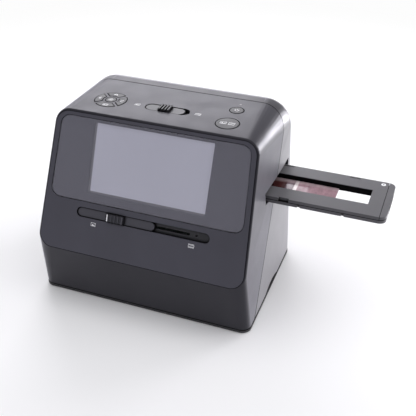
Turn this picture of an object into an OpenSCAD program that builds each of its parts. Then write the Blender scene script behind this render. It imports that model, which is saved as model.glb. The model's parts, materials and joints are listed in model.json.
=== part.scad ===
// Desktop scanner for paper prints and film strips.
// Millimetres, +X right, +Y back, +Z up, origin on the table under the centre of the base.

/* [Body] */
// Width of the body across the base
body_w = 205; // [198:1:216]
// Depth of the body along the base
body_d = 138; // [134:1:150]
// Height of the top above the table
body_h = 170; // [166:1:180]
// Thickness of the moulded walls
wall = 2.4; // [1.8:0.1:3]
// Draft of the sides beside the panel, in degrees
draft = 3; // [2:0.25:3.5]
// Draft of the back and of the sides at the back, in degrees
rear_draft = 1.5; // [1:0.25:2]
// Radius of the shoulders beside the panel and of the panel corners
shoulder_r = 14; // [10:1:16]
// Radius of the shoulders at the back
rear_shoulder_r = 25; // [20:1:28]
// Radius of the rear top edge
back_edge_r = 10; // [8:0.5:12]
// Radius of the upright corners at the base
base_corner_r = 8.5; // [7:0.5:12]
// Radius of the rim round the panel
front_edge_r = 2.2; // [1.5:0.1:3]
// Height of the crease where the panel meets the lower front
crease_h = 53; // [50:1:56]
// How far the crease stands in front of the base
crease_overhang = 8; // [5:0.5:10]
// Lean of the front panel back from upright, in degrees
panel_tilt = 24; // [22:0.5:25]
// Distance from the front of the base to the seam, at the table
seam_foot = 16.5; // [15:0.5:20]
// Distance from the top of the back to the seam, at the top
seam_top = 19.5; // [17:0.5:22]
// Width of the seam line and of the parting line above the base plate
seam_gap = 0.45; // [0.3:0.05:0.6]

/* [Front panel] */
// Thickness of the front panel
panel_t = 2.2; // [1.8:0.1:2.8]
// Width of the rim between the sides of the body and the panel
panel_in = 2; // [1.5:0.1:3]
// Gap round the panel and round the window
panel_gap = 0.4; // [0.2:0.05:0.5]
// Bare border between the panel edge and the window
window_border = 6.3; // [5:0.1:8]
// Distance from the panel top to the window top
window_top = 5; // [4:0.1:6]
// Height of the window along the panel
window_h = 74; // [72:0.5:76]
// Corner radius of the window
window_r = 9; // [6:0.5:11]
// Thickness of the window
window_t = 1.2; // [0.8:0.1:1.4]
// Width of the lit screen
screen_w = 110.7; // [106:0.1:113]
// Height of the lit screen
screen_h = 62.3; // [58:0.1:64]
// Distance from the panel top to the screen top
screen_top = 8.2; // [7.5:0.1:9]
// Thickness of the display module
display_t = 4.6; // [3:0.1:6]

/* [Selector slider] */
// Length of the slot in the panel
slot_l = 126; // [122:1:130]
// Width of the slot in the panel
slot_w = 8.9; // [8:0.1:10]
// Distance from the window down to the slot
slot_drop = 5.1; // [4.5:0.1:6]
// Depth from the panel face to the channel floor
channel_depth = 3.4; // [3:0.1:4]
// Length of the sliding plate
slider_l = 74.5; // [70:0.5:76]
// Length of the ridged grip
grip_l = 16.5; // [12:0.5:20]
// How far the slider goes from prints to film
slider_travel = 49; // [46:0.5:50]
// How far the grip stands out of the panel
grip_out = 2.2; // [1.5:0.1:3]

/* [Top controls] */
// Place of the direction pad to the left of the middle
pad_x = -55; // [-58:0.5:-52]
// Distance from the panel top back to the middle of the direction pad
pad_back = 28.5; // [27:0.5:30]
// Diameter of the direction pad
pad_d = 30; // [28:0.5:32]
// Diameter of the ring around the middle button
pad_ring_d = 14; // [13:0.5:15]
// Diameter of the hole for the middle button
middle_d = 11; // [10:0.25:11.5]
// Width of the ribs between the direction buttons
pad_rib = 2.2; // [1.8:0.1:2.8]
// Place of the scan button to the right of the middle
scan_x = 58; // [55:0.5:60]
// Distance from the panel top back to the scan button
scan_back = 20.5; // [19:0.5:22]
// Diameter of the hole for the scan button
scan_d = 21.5; // [20:0.5:23]
// Place of the power button to the right of the middle
power_x = 57.5; // [55:0.5:60]
// Distance from the panel top back to the power button
power_back = 47; // [45:0.5:48]
// Diameter of the hole for the power button
power_d = 13.5; // [12:0.5:15]
// Distance from the panel top back to the status light
light_back = 58; // [57:0.5:60]
// Diameter of the status light
light_d = 2.4; // [2:0.1:3]
// Length of the slide switch opening
switch_l = 42; // [40:0.5:44]
// Width of the slide switch opening
switch_w = 12.5; // [11:0.5:14]
// Distance from the panel top back to the slide switch
switch_back = 28; // [27:0.5:29]
// Travel of the slide switch
switch_travel = 4; // [3:0.25:5]
// Travel of the push buttons
button_travel = 0.9; // [0.6:0.05:1.1]
// How far the buttons stand above the top
button_rise = 0.2; // [0.1:0.1:0.6]
// Gap around each button
button_gap = 0.5; // [0.4:0.05:0.6]

/* [Film holder] */
// Length of the holder
holder_l = 262; // [256:1:268]
// Width of the holder
holder_w = 57.5; // [56:0.5:59]
// Thickness of the holder base
holder_base_t = 3.2; // [2.8:0.1:3.6]
// Thickness of the holder lid
holder_lid_t = 3.2; // [2.6:0.1:3.6]
// Distance from the middle of the machine to the outer end of the holder
holder_reach = 199.5; // [190:0.5:205]
// Corner radius of the holder ends
holder_r = 6.5; // [4:0.5:8]
// Height of a film picture, which is the width of the holder window
frame_h = 24; // [23:0.25:25]
// Spacing of the pictures along the film
frame_pitch = 38; // [37:0.25:39]
// Number of pictures that the holder takes
frame_count = 6; // [6:1:6]
// Width of the film
film_w = 35; // [34.5:0.1:35.4]
// Thickness of the film solid
film_t = 0.3; // [0.2:0.05:0.4]
// Distance from the outer end of the holder to the end of the film
film_end = 47; // [40:1:60]
// Length of the film
film_l = 196; // [180:1:200]
// Middle of the film path behind the middle of the base
film_y = 16.5; // [15:0.5:18]
// Height of the film path floor above the table
path_z = 105; // [103:0.5:107]
// Width of the film slot in the sides
film_slot_w = 68; // [66:0.5:70]
// Height of the film slot in the sides
film_slot_h = 11.5; // [10.5:0.25:12]

/* [Base] */
// Thickness of the base plate
base_t = 2.6; // [2.2:0.1:3]
// Height of the feet below the base plate
foot_h = 1; // [0.8:0.1:1.5]
// Diameter of the feet
foot_d = 12; // [10:0.5:13]
// Width of the print window
print_w = 132; // [126:1:136]
// Depth of the print window
print_d = 90; // [86:1:92]
// Thickness of the print glass
glass_t = 2; // [1.6:0.1:2.4]
// Length of the finger reliefs in the sides
relief_l = 46; // [40:1:50]
// Height of the finger reliefs
relief_h = 8; // [7:0.5:9]
// Depth of the finger reliefs
relief_d = 10; // [8:0.5:10.5]
// Middle of the finger reliefs behind the middle of the base
relief_y = 3; // [0:0.5:6]

/* [Inside] */
// Diameter of the guide rods
rod_d = 5; // [4:0.25:6]
// Distance between the guide rods
rod_spacing = 52; // [50:0.5:54]
// Length of the backlight carriage
carriage_l = 46; // [44:0.5:48]
// Diameter of the lens barrel
barrel_d = 20; // [16:0.5:22]
// Thickness of the circuit boards
board_t = 1.6; // [1:0.1:2]
// Running clearance of the rods in the carriage, on the radius
rod_fit = 0.06; // [0.03:0.01:0.09]
// Clearance between pieces that slide past each other
slide_gap = 0.4; // [0.3:0.05:0.5]
// Clearance between fixed pieces that seat in each other
seat_gap = 0.2; // [0.1:0.05:0.3]

/* [Hidden] */

round_fn = 48;
fine_fn = 96;
slice = 0.5;
sliver = 0.01;
reach = body_w + body_d;
cut = 1;

front_y = -body_d / 2;
back_y = body_d / 2;
crease_y = front_y - crease_overhang;
panel_len = (body_h - crease_h) / cos(panel_tilt);
panel_top_y = crease_y + panel_len * sin(panel_tilt);
top_back_y = back_y - body_h * tan(rear_draft);
base_top = foot_h + base_t;
shell_z = base_top + seam_gap;
top_in = body_h - wall;
seam_tilt = atan((top_back_y - seam_top - front_y - seam_foot) / body_h);

// Half of the body's width at a height, beside the panel and at the back
function half(z) = body_w / 2 - z * tan(draft);
function rear_half(z) = body_w / 2 - z * tan(rear_draft);
// Height of a point that lies a distance up the panel
function panel_height(s) = crease_h + s * cos(panel_tilt);
// Distance up the panel to the top of a front face that lies a depth behind the panel face
function face_top(inset, depth, edge_r) =
    (body_h - inset - crease_h - edge_r + (depth + edge_r) * sin(panel_tilt)) / cos(panel_tilt) + edge_r;

// Unit vector along a vector
function unit(v) = v / norm(v);
// Arc that rounds the corner at p between its neighbours a and b
function corner_arc(a, p, b, r, steps) =
    let (u = unit(a - p))
    let (v = unit(b - p))
    let (h = acos(u * v) / 2)
    let (c = p + unit(u + v) * r / sin(h))
    let (p0 = p + u * r / tan(h) - c)
    let (p1 = p + v * r / tan(h) - c)
    let (a0 = atan2(p0[1], p0[0]))
    let (turn = (atan2(p1[1], p1[0]) - a0 + 540) % 360 - 180)
    [for (i = [0:steps]) c + r * [cos(a0 + turn * i / steps), sin(a0 + turn * i / steps)]];
// Outline with every corner rounded to one radius
function rounded(pts, r, steps) =
    let (n = len(pts))
    [for (i = [0:n - 1]) each corner_arc(pts[(i + n - 1) % n], pts[i], pts[(i + 1) % n], r, steps)];
// Corners of a rectangle about the origin
function box_points(l, w) = [[-l / 2, -w / 2], [l / 2, -w / 2], [l / 2, w / 2], [-l / 2, w / 2]];

// Rectangle with round corners, centred in plan, standing on its base
module rounded_block(l, w, h, r) {
    linear_extrude(height = h)
        polygon(rounded(box_points(l, w), r, 8));
}

// Bar with full round ends
module slot_block(l, w, h) {
    rounded_block(l, w, h, w / 2 - sliver);
}

// Block centred in plan, standing on its base
module block(l, w, h) {
    translate([-l / 2, -w / 2, 0])
        cube([l, w, h]);
}

// Panel frame: x across, y up the panel from the crease, z out of its face
module on_panel() {
    translate([0, crease_y, crease_h])
        rotate([90 - panel_tilt, 0, 0])
            children();
}

// Body form, shrunk inwards by an inset, its front face a depth behind the panel face and round at the edge
module body_form(inset, depth, edge_r) {
    hull() {
        on_panel()
            for (side = [-1, 1], s = [shoulder_r, face_top(inset, depth, edge_r) - shoulder_r + inset],
                a = edge_r > 0 ? [0:30:90] : [90])
                translate([side * (half(panel_height(s)) - shoulder_r), s, -depth - edge_r * (1 - sin(a)) - slice])
                    cylinder(r = shoulder_r - inset - edge_r * (1 - cos(a)), h = slice, $fn = round_fn);
        for (side = [-1, 1], end = [-1, 1])
            translate([side * (half(shell_z) - base_corner_r), end * (back_y - base_corner_r), shell_z - inset])
                cylinder(r = base_corner_r - inset, h = slice, $fn = round_fn);
        for (side = [-1, 1], a = [0:22.5:90])
            translate([side * (rear_half(body_h - rear_shoulder_r) - rear_shoulder_r),
                top_back_y - back_edge_r + (back_edge_r - inset) * sin(a), body_h - rear_shoulder_r])
                rotate([90, 0, 0])
                    cylinder(r = rear_shoulder_r - back_edge_r + (back_edge_r - inset) * cos(a), h = slice,
                        $fn = round_fn);
    }
}

// Space on one side of the seam: -1 in front of it, 1 behind it
module seam_side(side) {
    translate([0, front_y + seam_foot, 0])
        rotate([-seam_tilt, 0, 0])
            translate([-reach, side > 0 ? seam_gap / 2 : -reach - seam_gap / 2, -reach])
                cube([2 * reach, reach, 2 * reach]);
}

// Hollow wall of one shell
module shell_wall(side) {
    intersection() {
        difference() {
            body_form(0, 0, front_edge_r);
            body_form(wall, panel_t + wall, 0);
        }
        seam_side(side);
    }
}

// Screw posts
screw_d = 3;
screw_head_d = 5.6;
screw_head_h = 1.8;
screw_l = 12;
screw_cross_l = 3;
screw_cross_w = 0.8;
screw_cross_h = 1;
pilot_l = 14;
post_d = 9;
post_h = 20;
screw_side = 7;
screw_end = 12;
screw_x = body_w / 2 - screw_side;
screw_y = body_d / 2 - screw_end;

// Screw posts at one end of the body
module screw_posts(end) {
    for (side = [-1, 1])
        translate([side * screw_x, end * screw_y, shell_z])
            cylinder(d = post_d, h = post_h, $fn = round_fn);
}

// Pilot holes in the screw posts at one end
module screw_pilots(end) {
    for (side = [-1, 1])
        translate([side * screw_x, end * screw_y, shell_z - cut])
            cylinder(d = screw_d + seat_gap, h = pilot_l + cut, $fn = round_fn);
}

// Film slot through both sides
module film_slot() {
    translate([-reach / 2, film_y - film_slot_w / 2, path_z - seat_gap])
        cube([reach, film_slot_w, film_slot_h]);
}

// Arched finger reliefs, of a given depth, in both sides above a thin floor
relief_skin = 1.2;
relief_z = foot_h + relief_skin;
relief_rise = relief_h - relief_z;
relief_r = (pow(relief_l / 2, 2) + pow(relief_rise, 2)) / (2 * relief_rise);
module finger_reliefs(depth) {
    for (side = [-1, 1])
        intersection() {
            translate([side * (half(0) + cut), relief_y, relief_h - relief_r])
                rotate([0, -side * 90, 0])
                    cylinder(r = relief_r, h = depth + cut, $fn = fine_fn);
            translate([0, relief_y, relief_z])
                block(reach, relief_l, relief_h);
        }
}

// Places of the window, the screen and the slot, up the panel from the crease
window_s1 = panel_len - window_top;
window_s0 = window_s1 - window_h;
slot_s = window_s0 - slot_drop - slot_w / 2;
channel_rim = 1.5;
channel_strip = 0.6;
display_frame = slot_drop - channel_rim - channel_strip;
display_w = screen_w + 2 * display_frame;
display_h = screen_h + 2 * display_frame;
screen_lift = 0.4;
screen_gap = 0.5;
screen_s = panel_len - screen_top - screen_h / 2;

// Channel behind the slot
channel_l = slot_l + 2 * channel_rim;
channel_w = slot_w + 2 * channel_rim;
channel_floor = 1.4;
channel_hole_d = 1.8;
channel_hole_out = 6.4;

// Places of the top controls
pad_y = panel_top_y + pad_back;
scan_y = panel_top_y + scan_back;
power_y = panel_top_y + power_back;
light_y = panel_top_y + light_back;
switch_y = panel_top_y + switch_back;

// Heights under the top
flange_t = 1;
flange_w = 0.8;
flange_gap = 0.3;
flange_top = top_in - flange_gap;
stem_drop = 3.4;
stem_z = top_in - stem_drop;
plunger_gap = 0.35;
plunger_z = stem_z - button_travel - plunger_gap;
push_h = 3.5;
board_z = plunger_z - push_h - board_t;
stem_d = 4;
board_edge = 4;
board_x0 = pad_x - pad_d / 2 - board_edge;
board_x1 = scan_x + scan_d / 2 + board_edge;
board_y0 = scan_y - scan_d / 2 - board_edge;
board_y1 = light_y + board_edge;
board_post_d = 5;
post_in = 3.2;

// One sector of the direction pad, larger than its hole by grow
module pad_sector(turn, grow, h) {
    rotate([0, 0, turn - 45])
        intersection() {
            difference() {
                cylinder(d = pad_d + 2 * grow, h = h, $fn = fine_fn);
                translate([0, 0, -cut])
                    cylinder(d = pad_ring_d - 2 * grow, h = h + 2 * cut, $fn = round_fn);
            }
            translate([pad_rib / 2 - grow, pad_rib / 2 - grow, 0])
                cube([pad_d, pad_d, h]);
        }
}

// Holes in the top for the controls
module control_holes() {
    translate([0, 0, top_in - 2 * wall]) {
        for (turn = [0:90:270])
            translate([pad_x, pad_y, 0])
                pad_sector(turn, 0, 4 * wall);
        translate([pad_x, pad_y, 0])
            cylinder(d = middle_d, h = 4 * wall, $fn = round_fn);
        translate([scan_x, scan_y, 0])
            cylinder(d = scan_d, h = 4 * wall, $fn = fine_fn);
        translate([power_x, power_y, 0])
            cylinder(d = power_d, h = 4 * wall, $fn = round_fn);
        translate([power_x, light_y, 0])
            cylinder(d = light_d + seat_gap, h = 4 * wall, $fn = round_fn);
        translate([0, switch_y, 0])
            slot_block(switch_l, switch_w, 4 * wall);
    }
}

// Posts that carry the button board under the top
module board_posts() {
    for (x = [board_x0 + post_in, board_x1 - post_in], y = [board_y0 + post_in, board_y1 - post_in])
        translate([x, y, board_z + board_t])
            cylinder(d = board_post_d, h = top_in + cut - board_z - board_t, $fn = round_fn);
}

module front_shell() {
    color([0.16, 0.16, 0.17])
        difference() {
            union() {
                shell_wall(-1);
                screw_posts(-1);
                board_posts();
            }
            screw_pilots(-1);
            film_slot();
            finger_reliefs(relief_d);
            control_holes();
            on_panel() {
                translate([0, 0, -panel_t])
                    linear_extrude(height = panel_t + cut)
                        panel_outline(panel_in - panel_gap, panel_in - panel_gap, panel_len - panel_in + panel_gap,
                            shoulder_r - panel_in + panel_gap);
                translate([0, screen_s, -panel_t - 3 * wall])
                    block(display_w + 2 * seat_gap, display_h + 2 * seat_gap, 4 * wall);
                translate([0, slot_s, -panel_t - 3 * wall])
                    block(channel_l + 2 * seat_gap, channel_w + 2 * seat_gap, 4 * wall);
            }
        }
}

// Ports on the back, on the main board
port_z = 24;
port_x = 32;
port_w = 9;
port_h = 3.4;
port_skin = 0.5;
port_floor = 2;
port_sink = 1;
card_x = -30;
card_w = 28;
card_h = 4;
card_mouth_w = 25;
card_mouth_h = 2.6;
card_skin = 0.6;
main_w = 120;
main_h = 76;
main_z = 14;
main_in = 15;
main_y = back_y - main_in;
main_post_in = 5;
main_post_d = 6;

module rear_shell() {
    color([0.17, 0.17, 0.18])
        difference() {
            union() {
                shell_wall(1);
                screw_posts(1);
                for (x = [-1, 1], z = [main_z + main_post_in, main_z + main_h - main_post_in])
                    translate([x * (main_w / 2 - main_post_in), main_y + board_t, z])
                        rotate([-90, 0, 0])
                            cylinder(d = main_post_d, h = back_y - wall / 2 - z * tan(rear_draft) - main_y - board_t,
                                $fn = round_fn);
            }
            screw_pilots(1);
            film_slot();
            finger_reliefs(relief_d);
            translate([port_x, back_y, port_z])
                block(port_w + 2 * slide_gap, 6 * wall, port_h + 2 * slide_gap);
            translate([card_x, back_y, port_z])
                block(card_mouth_w + 2 * slide_gap, 6 * wall, card_mouth_h + 2 * slide_gap);
        }
}

// Print window and feet places
foot_side = 19;
foot_end = 13;
foot_x = body_w / 2 - foot_side;
foot_y = body_d / 2 - foot_end;
foot_in = 0.6;
foot_edge = 0.5;
glass_edge = 3;
rim_h = 4;
rim_t = 1.6;
rim_in = wall + slide_gap + (base_top + rim_h) * tan(draft);

// Cups behind the finger reliefs, set in cut-outs of the base plate
cup_end = 4;
cup_l = relief_l + 2 * cup_end;
cup_h = relief_h + rim_t;
cup_x = half(relief_h) - wall - seat_gap - relief_d / 2;

module finger_cups() {
    color([0.13, 0.13, 0.14])
        difference() {
            for (side = [-1, 1])
                translate([side * cup_x, relief_y, foot_h])
                    block(relief_d, cup_l, cup_h);
            finger_reliefs(relief_d);
        }
}

module base_plate() {
    color([0.13, 0.13, 0.14])
        difference() {
            union() {
                translate([0, 0, foot_h])
                    rounded_block(body_w, body_d, base_t, base_corner_r);
                difference() {
                    translate([0, 0, foot_h])
                        rounded_block(body_w - 2 * rim_in, body_d - 2 * rim_in, base_t + rim_h, base_corner_r - rim_in);
                    translate([0, 0, foot_h - cut])
                        rounded_block(body_w - 2 * (rim_in + rim_t), body_d - 2 * (rim_in + rim_t),
                            base_t + rim_h + 2 * cut, base_corner_r - rim_in - rim_t);
                    for (side = [-1, 1], end = [-1, 1])
                        translate([side * screw_x, end * screw_y, base_top])
                            cylinder(d = post_d + 2 * slide_gap, h = rim_h + cut, $fn = round_fn);
                }
            }
            for (side = [-1, 1])
                translate([side * cup_x, relief_y, -cut])
                    block(relief_d + 2 * seat_gap, cup_l + 2 * seat_gap, foot_h + cup_h + 2 * cut);
            translate([0, film_y, -cut])
                block(print_w, print_d, base_t + 2 * cut + foot_h);
            translate([0, film_y, base_top - base_t / 2])
                block(print_w + 2 * (glass_edge + seat_gap), print_d + 2 * (glass_edge + seat_gap), base_t);
            finger_reliefs(relief_d);
            for (side = [-1, 1], end = [-1, 1]) {
                translate([side * screw_x, end * screw_y, -cut])
                    cylinder(d = screw_d + 2 * seat_gap, h = base_t + 2 * cut + foot_h, $fn = round_fn);
                translate([side * screw_x, end * screw_y, -cut])
                    cylinder(d = screw_head_d + 2 * seat_gap, h = cut + foot_h + screw_head_h, $fn = round_fn);
                translate([side * foot_x, end * foot_y, foot_h - cut])
                    cylinder(d = foot_d + 2 * seat_gap, h = cut + foot_in, $fn = round_fn);
            }
        }
}

module rubber_feet() {
    color([0.06, 0.06, 0.06])
        for (side = [-1, 1], end = [-1, 1])
            translate([side * foot_x, end * foot_y, 0])
                rotate_extrude($fn = round_fn)
                    polygon([[0, 0], [foot_d / 2 - foot_edge, 0], [foot_d / 2, foot_edge],
                        [foot_d / 2, foot_h + foot_in], [0, foot_h + foot_in]]);
}

module case_screws() {
    color("silver")
        for (side = [-1, 1], end = [-1, 1])
            translate([side * screw_x, end * screw_y, foot_h])
                difference() {
                    union() {
                        cylinder(d = screw_head_d, h = screw_head_h, $fn = round_fn);
                        cylinder(d = screw_d, h = base_t + screw_l, $fn = round_fn);
                    }
                    for (turn = [0, 90])
                        rotate([0, 0, turn])
                            translate([0, 0, -cut])
                                block(screw_cross_l, screw_cross_w, cut + screw_cross_h);
                }
}

module print_glass() {
    color([0.75, 0.85, 0.85, 0.4])
        translate([0, film_y, base_top - base_t / 2])
            block(print_w + 2 * glass_edge, print_d + 2 * glass_edge, glass_t);
}

// Outline between two distances up the panel, set in from the sides of the body
module panel_outline(inset, s0, s1, r) {
    x0 = half(panel_height(s0)) - inset;
    x1 = half(panel_height(s1)) - inset;
    polygon(rounded([[-x0, s0], [x0, s0], [x1, s1], [-x1, s1]], r, 12));
}

module front_panel() {
    color([0.2, 0.2, 0.22])
        on_panel()
            difference() {
                translate([0, 0, -panel_t])
                    linear_extrude(height = panel_t)
                        panel_outline(panel_in, panel_in, panel_len - panel_in, shoulder_r - panel_in);
                translate([0, 0, -window_t])
                    linear_extrude(height = window_t + cut)
                        panel_outline(window_border, window_s0, window_s1, window_r);
                translate([0, screen_s, -panel_t - cut])
                    block(screen_w + 2 * screen_gap, screen_h + 2 * screen_gap, panel_t + 2 * cut);
                translate([0, slot_s, -panel_t - cut])
                    slot_block(slot_l, slot_w, panel_t + 2 * cut);
            }
}

module screen_window() {
    color([0.25, 0.25, 0.28, 0.6])
        on_panel()
            translate([0, 0, -window_t])
                linear_extrude(height = window_t)
                    panel_outline(window_border + panel_gap, window_s0 + panel_gap, window_s1 - panel_gap,
                        window_r - panel_gap);
}

module display_module() {
    color([0.6, 0.61, 0.64])
        on_panel()
            translate([0, screen_s, -panel_t - display_t]) {
                block(display_w, display_h, display_t);
                block(screen_w, screen_h, display_t + screen_lift);
            }
}

// Stem of the selector through the slit of its channel
stem_len = 13;
stem_w = 1.6;
stem_l = 8;
stem_in = 22;
slit_w = stem_w + 2 * slide_gap;
slider_stop = 0.7;
slider_x = -slot_l / 2 + slider_stop + slider_l / 2;
stem_x = slider_x + slider_l / 2 - stem_in;
slider_top = -1;
slider_t = 1.9;
slider_w = slot_w - 2 * slide_gap;
channel_room = 0.5;
channel_hole_x = stem_x + slider_travel + stem_l / 2 + slide_gap + channel_hole_out;

module slider_channel() {
    color([0.1, 0.1, 0.11])
        on_panel()
            difference() {
                translate([0, slot_s, -channel_depth - channel_floor])
                    block(channel_l, channel_w, channel_depth + channel_floor - panel_t);
                translate([0, slot_s, -channel_depth])
                    slot_block(slot_l + 2 * channel_room, slot_w + 2 * channel_room, channel_depth);
                translate([stem_x + slider_travel / 2, slot_s, -channel_depth - channel_floor - cut])
                    block(stem_l + slider_travel + 2 * slide_gap, slit_w, channel_floor + 2 * cut);
                translate([channel_hole_x, slot_s, -channel_depth - channel_floor - cut])
                    cylinder(d = channel_hole_d, h = channel_floor + 2 * cut, $fn = round_fn);
            }
}

// Grip with rounded ridges across it
ridge_count = 5;
ridge_d = 2.4;
ridge_lift = 0.5;
grip_w = slider_w - 0.6;
grip_r = 1;
module selector_slider() {
    color([0.15, 0.15, 0.16])
        on_panel() {
            difference() {
                union() {
                    translate([slider_x, slot_s, slider_top - slider_t])
                        slot_block(slider_l, slider_w, slider_t);
                    translate([slider_x, slot_s, slider_top - cut / 2])
                        rounded_block(grip_l, grip_w, cut / 2 - slider_top + grip_out, grip_r);
                }
                for (i = [0:ridge_count - 2])
                    translate([slider_x + (i - (ridge_count - 2) / 2) * grip_l / ridge_count, slot_s,
                        grip_out + ridge_lift])
                        rotate([90, 0, 0])
                            cylinder(d = ridge_d, h = slot_w, center = true, $fn = round_fn);
            }
            translate([stem_x, slot_s, -stem_len])
                block(stem_l, stem_w, stem_len + slider_top - slider_t / 2);
        }
}

// Film path: holder on the floor of the chassis, between two rails
holder_play = 0.55;
rail_in = holder_w / 2 + holder_play;
rail_t = 3;
rail_h = film_slot_h - 2 * seat_gap;
lip_w = 3;
holder_lift = 0.3;
holder_z = path_z + holder_lift;
holder_top = holder_z + holder_base_t + holder_lid_t;
floor_t = 2.8;
chassis_half = half(path_z + film_slot_h) - wall - slide_gap;
end_t = 3;
end_in = 6;
end_x = chassis_half - end_in;
frame_gap = 2;
frame_l = frame_pitch - frame_gap;
gate_edge = 0.5;
cable_z = 25;
cable_h = 16;
cable_in = 10;
cable_w = rod_spacing - 2 * cable_in;

// Rods and carriage below the film path
rod_drop = 10;
rod_z = path_z - rod_drop;
rods = [film_y - rod_spacing / 2, film_y + rod_spacing / 2];
carriage_gap = 1;
carriage_top = path_z - floor_t - carriage_gap;
carriage_h = 10.6;
carriage_z = carriage_top - carriage_h;
carriage_side = 7;
carriage_w = rod_spacing + 2 * carriage_side;
carriage_x = -slider_travel;
carriage_floor = 2;
diffuser_l = frame_l + 7;
diffuser_w = frame_h + 13;
diffuser_t = 2.4;
diffuser_sink = 0.2;
diffuser_ledge = 2;

// Leaf spring outside the front rail, its nose through the rail
nose_r = 1.1;
nose_out = 0.2;
nose_room = 1.4;
leaf_t = 0.5;
leaf_l = 34;
leaf_h = 2.8;
leaf_lift = 2.3;

module film_chassis() {
    color([0.2, 0.2, 0.2])
        difference() {
            union() {
                translate([0, film_y, path_z - floor_t])
                    block(2 * chassis_half, 2 * (rail_in + rail_t), floor_t);
                for (side = [-1, 1])
                    translate([side * end_x, film_y, base_top])
                        block(end_t, 2 * (rail_in + rail_t), path_z - base_top);
            }
            translate([0, film_y, path_z - floor_t - cut])
                block(frame_l + 2 * gate_edge, frame_h + 2 * gate_edge, floor_t + 2 * cut);
            for (y = rods)
                translate([0, y, rod_z])
                    rotate([0, 90, 0])
                        cylinder(d = rod_d + 2 * rod_fit, h = reach, center = true, $fn = round_fn);
            for (side = [-1, 1])
                translate([side * end_x, film_y, base_top + cable_z])
                    block(end_t + 2 * cut, cable_w, cable_h);
        }
}

// Rails beside the holder, each with a lip above it
module film_rails() {
    color([0.18, 0.18, 0.18])
        difference() {
            for (side = [-1, 1])
                translate([0, film_y, 0])
                    rotate([90, 0, 90])
                        linear_extrude(height = 2 * chassis_half, center = true)
                            polygon([[side * rail_in, path_z], [side * (rail_in + rail_t), path_z],
                                [side * (rail_in + rail_t), path_z + rail_h], [side * (rail_in - lip_w), path_z + rail_h],
                                [side * (rail_in - lip_w), holder_top + slide_gap],
                                [side * rail_in, holder_top + slide_gap]]);
            translate([0, film_y - rail_in - rail_t / 2, path_z + leaf_lift - slide_gap])
                block(2 * (nose_r + nose_room), rail_t + 2 * cut, leaf_h + 2 * slide_gap);
        }
}

module guide_rods() {
    color("silver")
        for (y = rods)
            translate([0, y, rod_z])
                rotate([0, 90, 0])
                    cylinder(d = rod_d, h = 2 * (end_x + end_t), center = true, $fn = round_fn);
}

module detent_spring() {
    nose_y = rail_t + nose_out - nose_r;
    color("silver")
        translate([0, film_y - rail_in - rail_t, path_z + leaf_lift]) {
            translate([0, -leaf_t / 2, 0])
                block(leaf_l, leaf_t, leaf_h);
            translate([0, nose_y / 2, 0])
                block(2 * nose_r, nose_y, leaf_h);
            translate([0, nose_y, 0])
                cylinder(r = nose_r, h = leaf_h, $fn = round_fn);
        }
}

// Socket for the stem, cross bar under the carriage and slanting arm between them
lug_wall = 2.5;
lug_l = stem_l + 2 * lug_wall;
lug_w = stem_w + 2 * lug_wall;
lug_h = 9;
arm_in = 1;
arm_l = lug_l - 2 * arm_in;
arm_t = 5;
bar_in = 1;
bar_front = 6;
bar_end = 2;
bar_w = 7;
bar_y = rods[0] - bar_front;
bar_x0 = carriage_x - carriage_l / 2 + bar_end;
bar_z = carriage_z - arm_t;

module light_carriage() {
    color([0.22, 0.22, 0.23])
        difference() {
            union() {
                translate([carriage_x, film_y, carriage_z])
                    block(carriage_l, carriage_w, carriage_h);
                translate([bar_x0, bar_y, bar_z])
                    cube([stem_x - bar_x0, bar_w, arm_t + bar_in]);
                hull() {
                    translate([stem_x - arm_l / 2, bar_y, bar_z])
                        cube([arm_l, bar_w, arm_t]);
                    on_panel()
                        translate([stem_x, slot_s, -stem_len - lug_h / 2])
                            block(arm_l, lug_w, arm_t / 2);
                }
                on_panel()
                    translate([stem_x, slot_s, -stem_len - lug_h / 2])
                        block(lug_l, lug_w, lug_h);
            }
            on_panel()
                translate([stem_x, slot_s, -stem_len - seat_gap])
                    block(stem_l + 2 * seat_gap, stem_w + 2 * seat_gap, lug_h);
            for (y = rods)
                translate([carriage_x, y, rod_z])
                    rotate([0, 90, 0])
                        cylinder(d = rod_d + 2 * rod_fit, h = carriage_l + 2 * cut, center = true, $fn = round_fn);
            translate([carriage_x, film_y, carriage_top - diffuser_t - diffuser_sink])
                block(diffuser_l + 2 * seat_gap, diffuser_w + 2 * seat_gap, diffuser_t + cut);
            translate([carriage_x, film_y, carriage_z + carriage_floor])
                block(diffuser_l - 2 * diffuser_ledge, diffuser_w - 2 * diffuser_ledge, carriage_h);
        }
}

module diffuser() {
    color([0.92, 0.93, 0.92])
        translate([carriage_x, film_y, carriage_top - diffuser_t - diffuser_sink])
            block(diffuser_l, diffuser_w, diffuser_t);
}

// Lamps on a board, sunk a little into it
lamp_l = 3.5;
lamp_w = 2.8;
lamp_t = 0.8;
sunk = 0.1;
lamp_columns = 4;
lamp_rows = 3;
backlight_in = diffuser_ledge + 0.3;
backlight_l = diffuser_l - 2 * backlight_in;
backlight_w = diffuser_w - 2 * backlight_in;
module backlight_board() {
    color([0.85, 0.86, 0.82])
        translate([carriage_x, film_y, carriage_z + carriage_floor]) {
            block(backlight_l, backlight_w, board_t);
            for (i = [0:lamp_columns - 1], j = [0:lamp_rows - 1])
                translate([(i + 0.5) * backlight_l / lamp_columns - backlight_l / 2,
                    (j + 0.5) * backlight_w / lamp_rows - backlight_w / 2, board_t - sunk])
                    block(lamp_l, lamp_w, lamp_t + sunk);
        }
}

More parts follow.
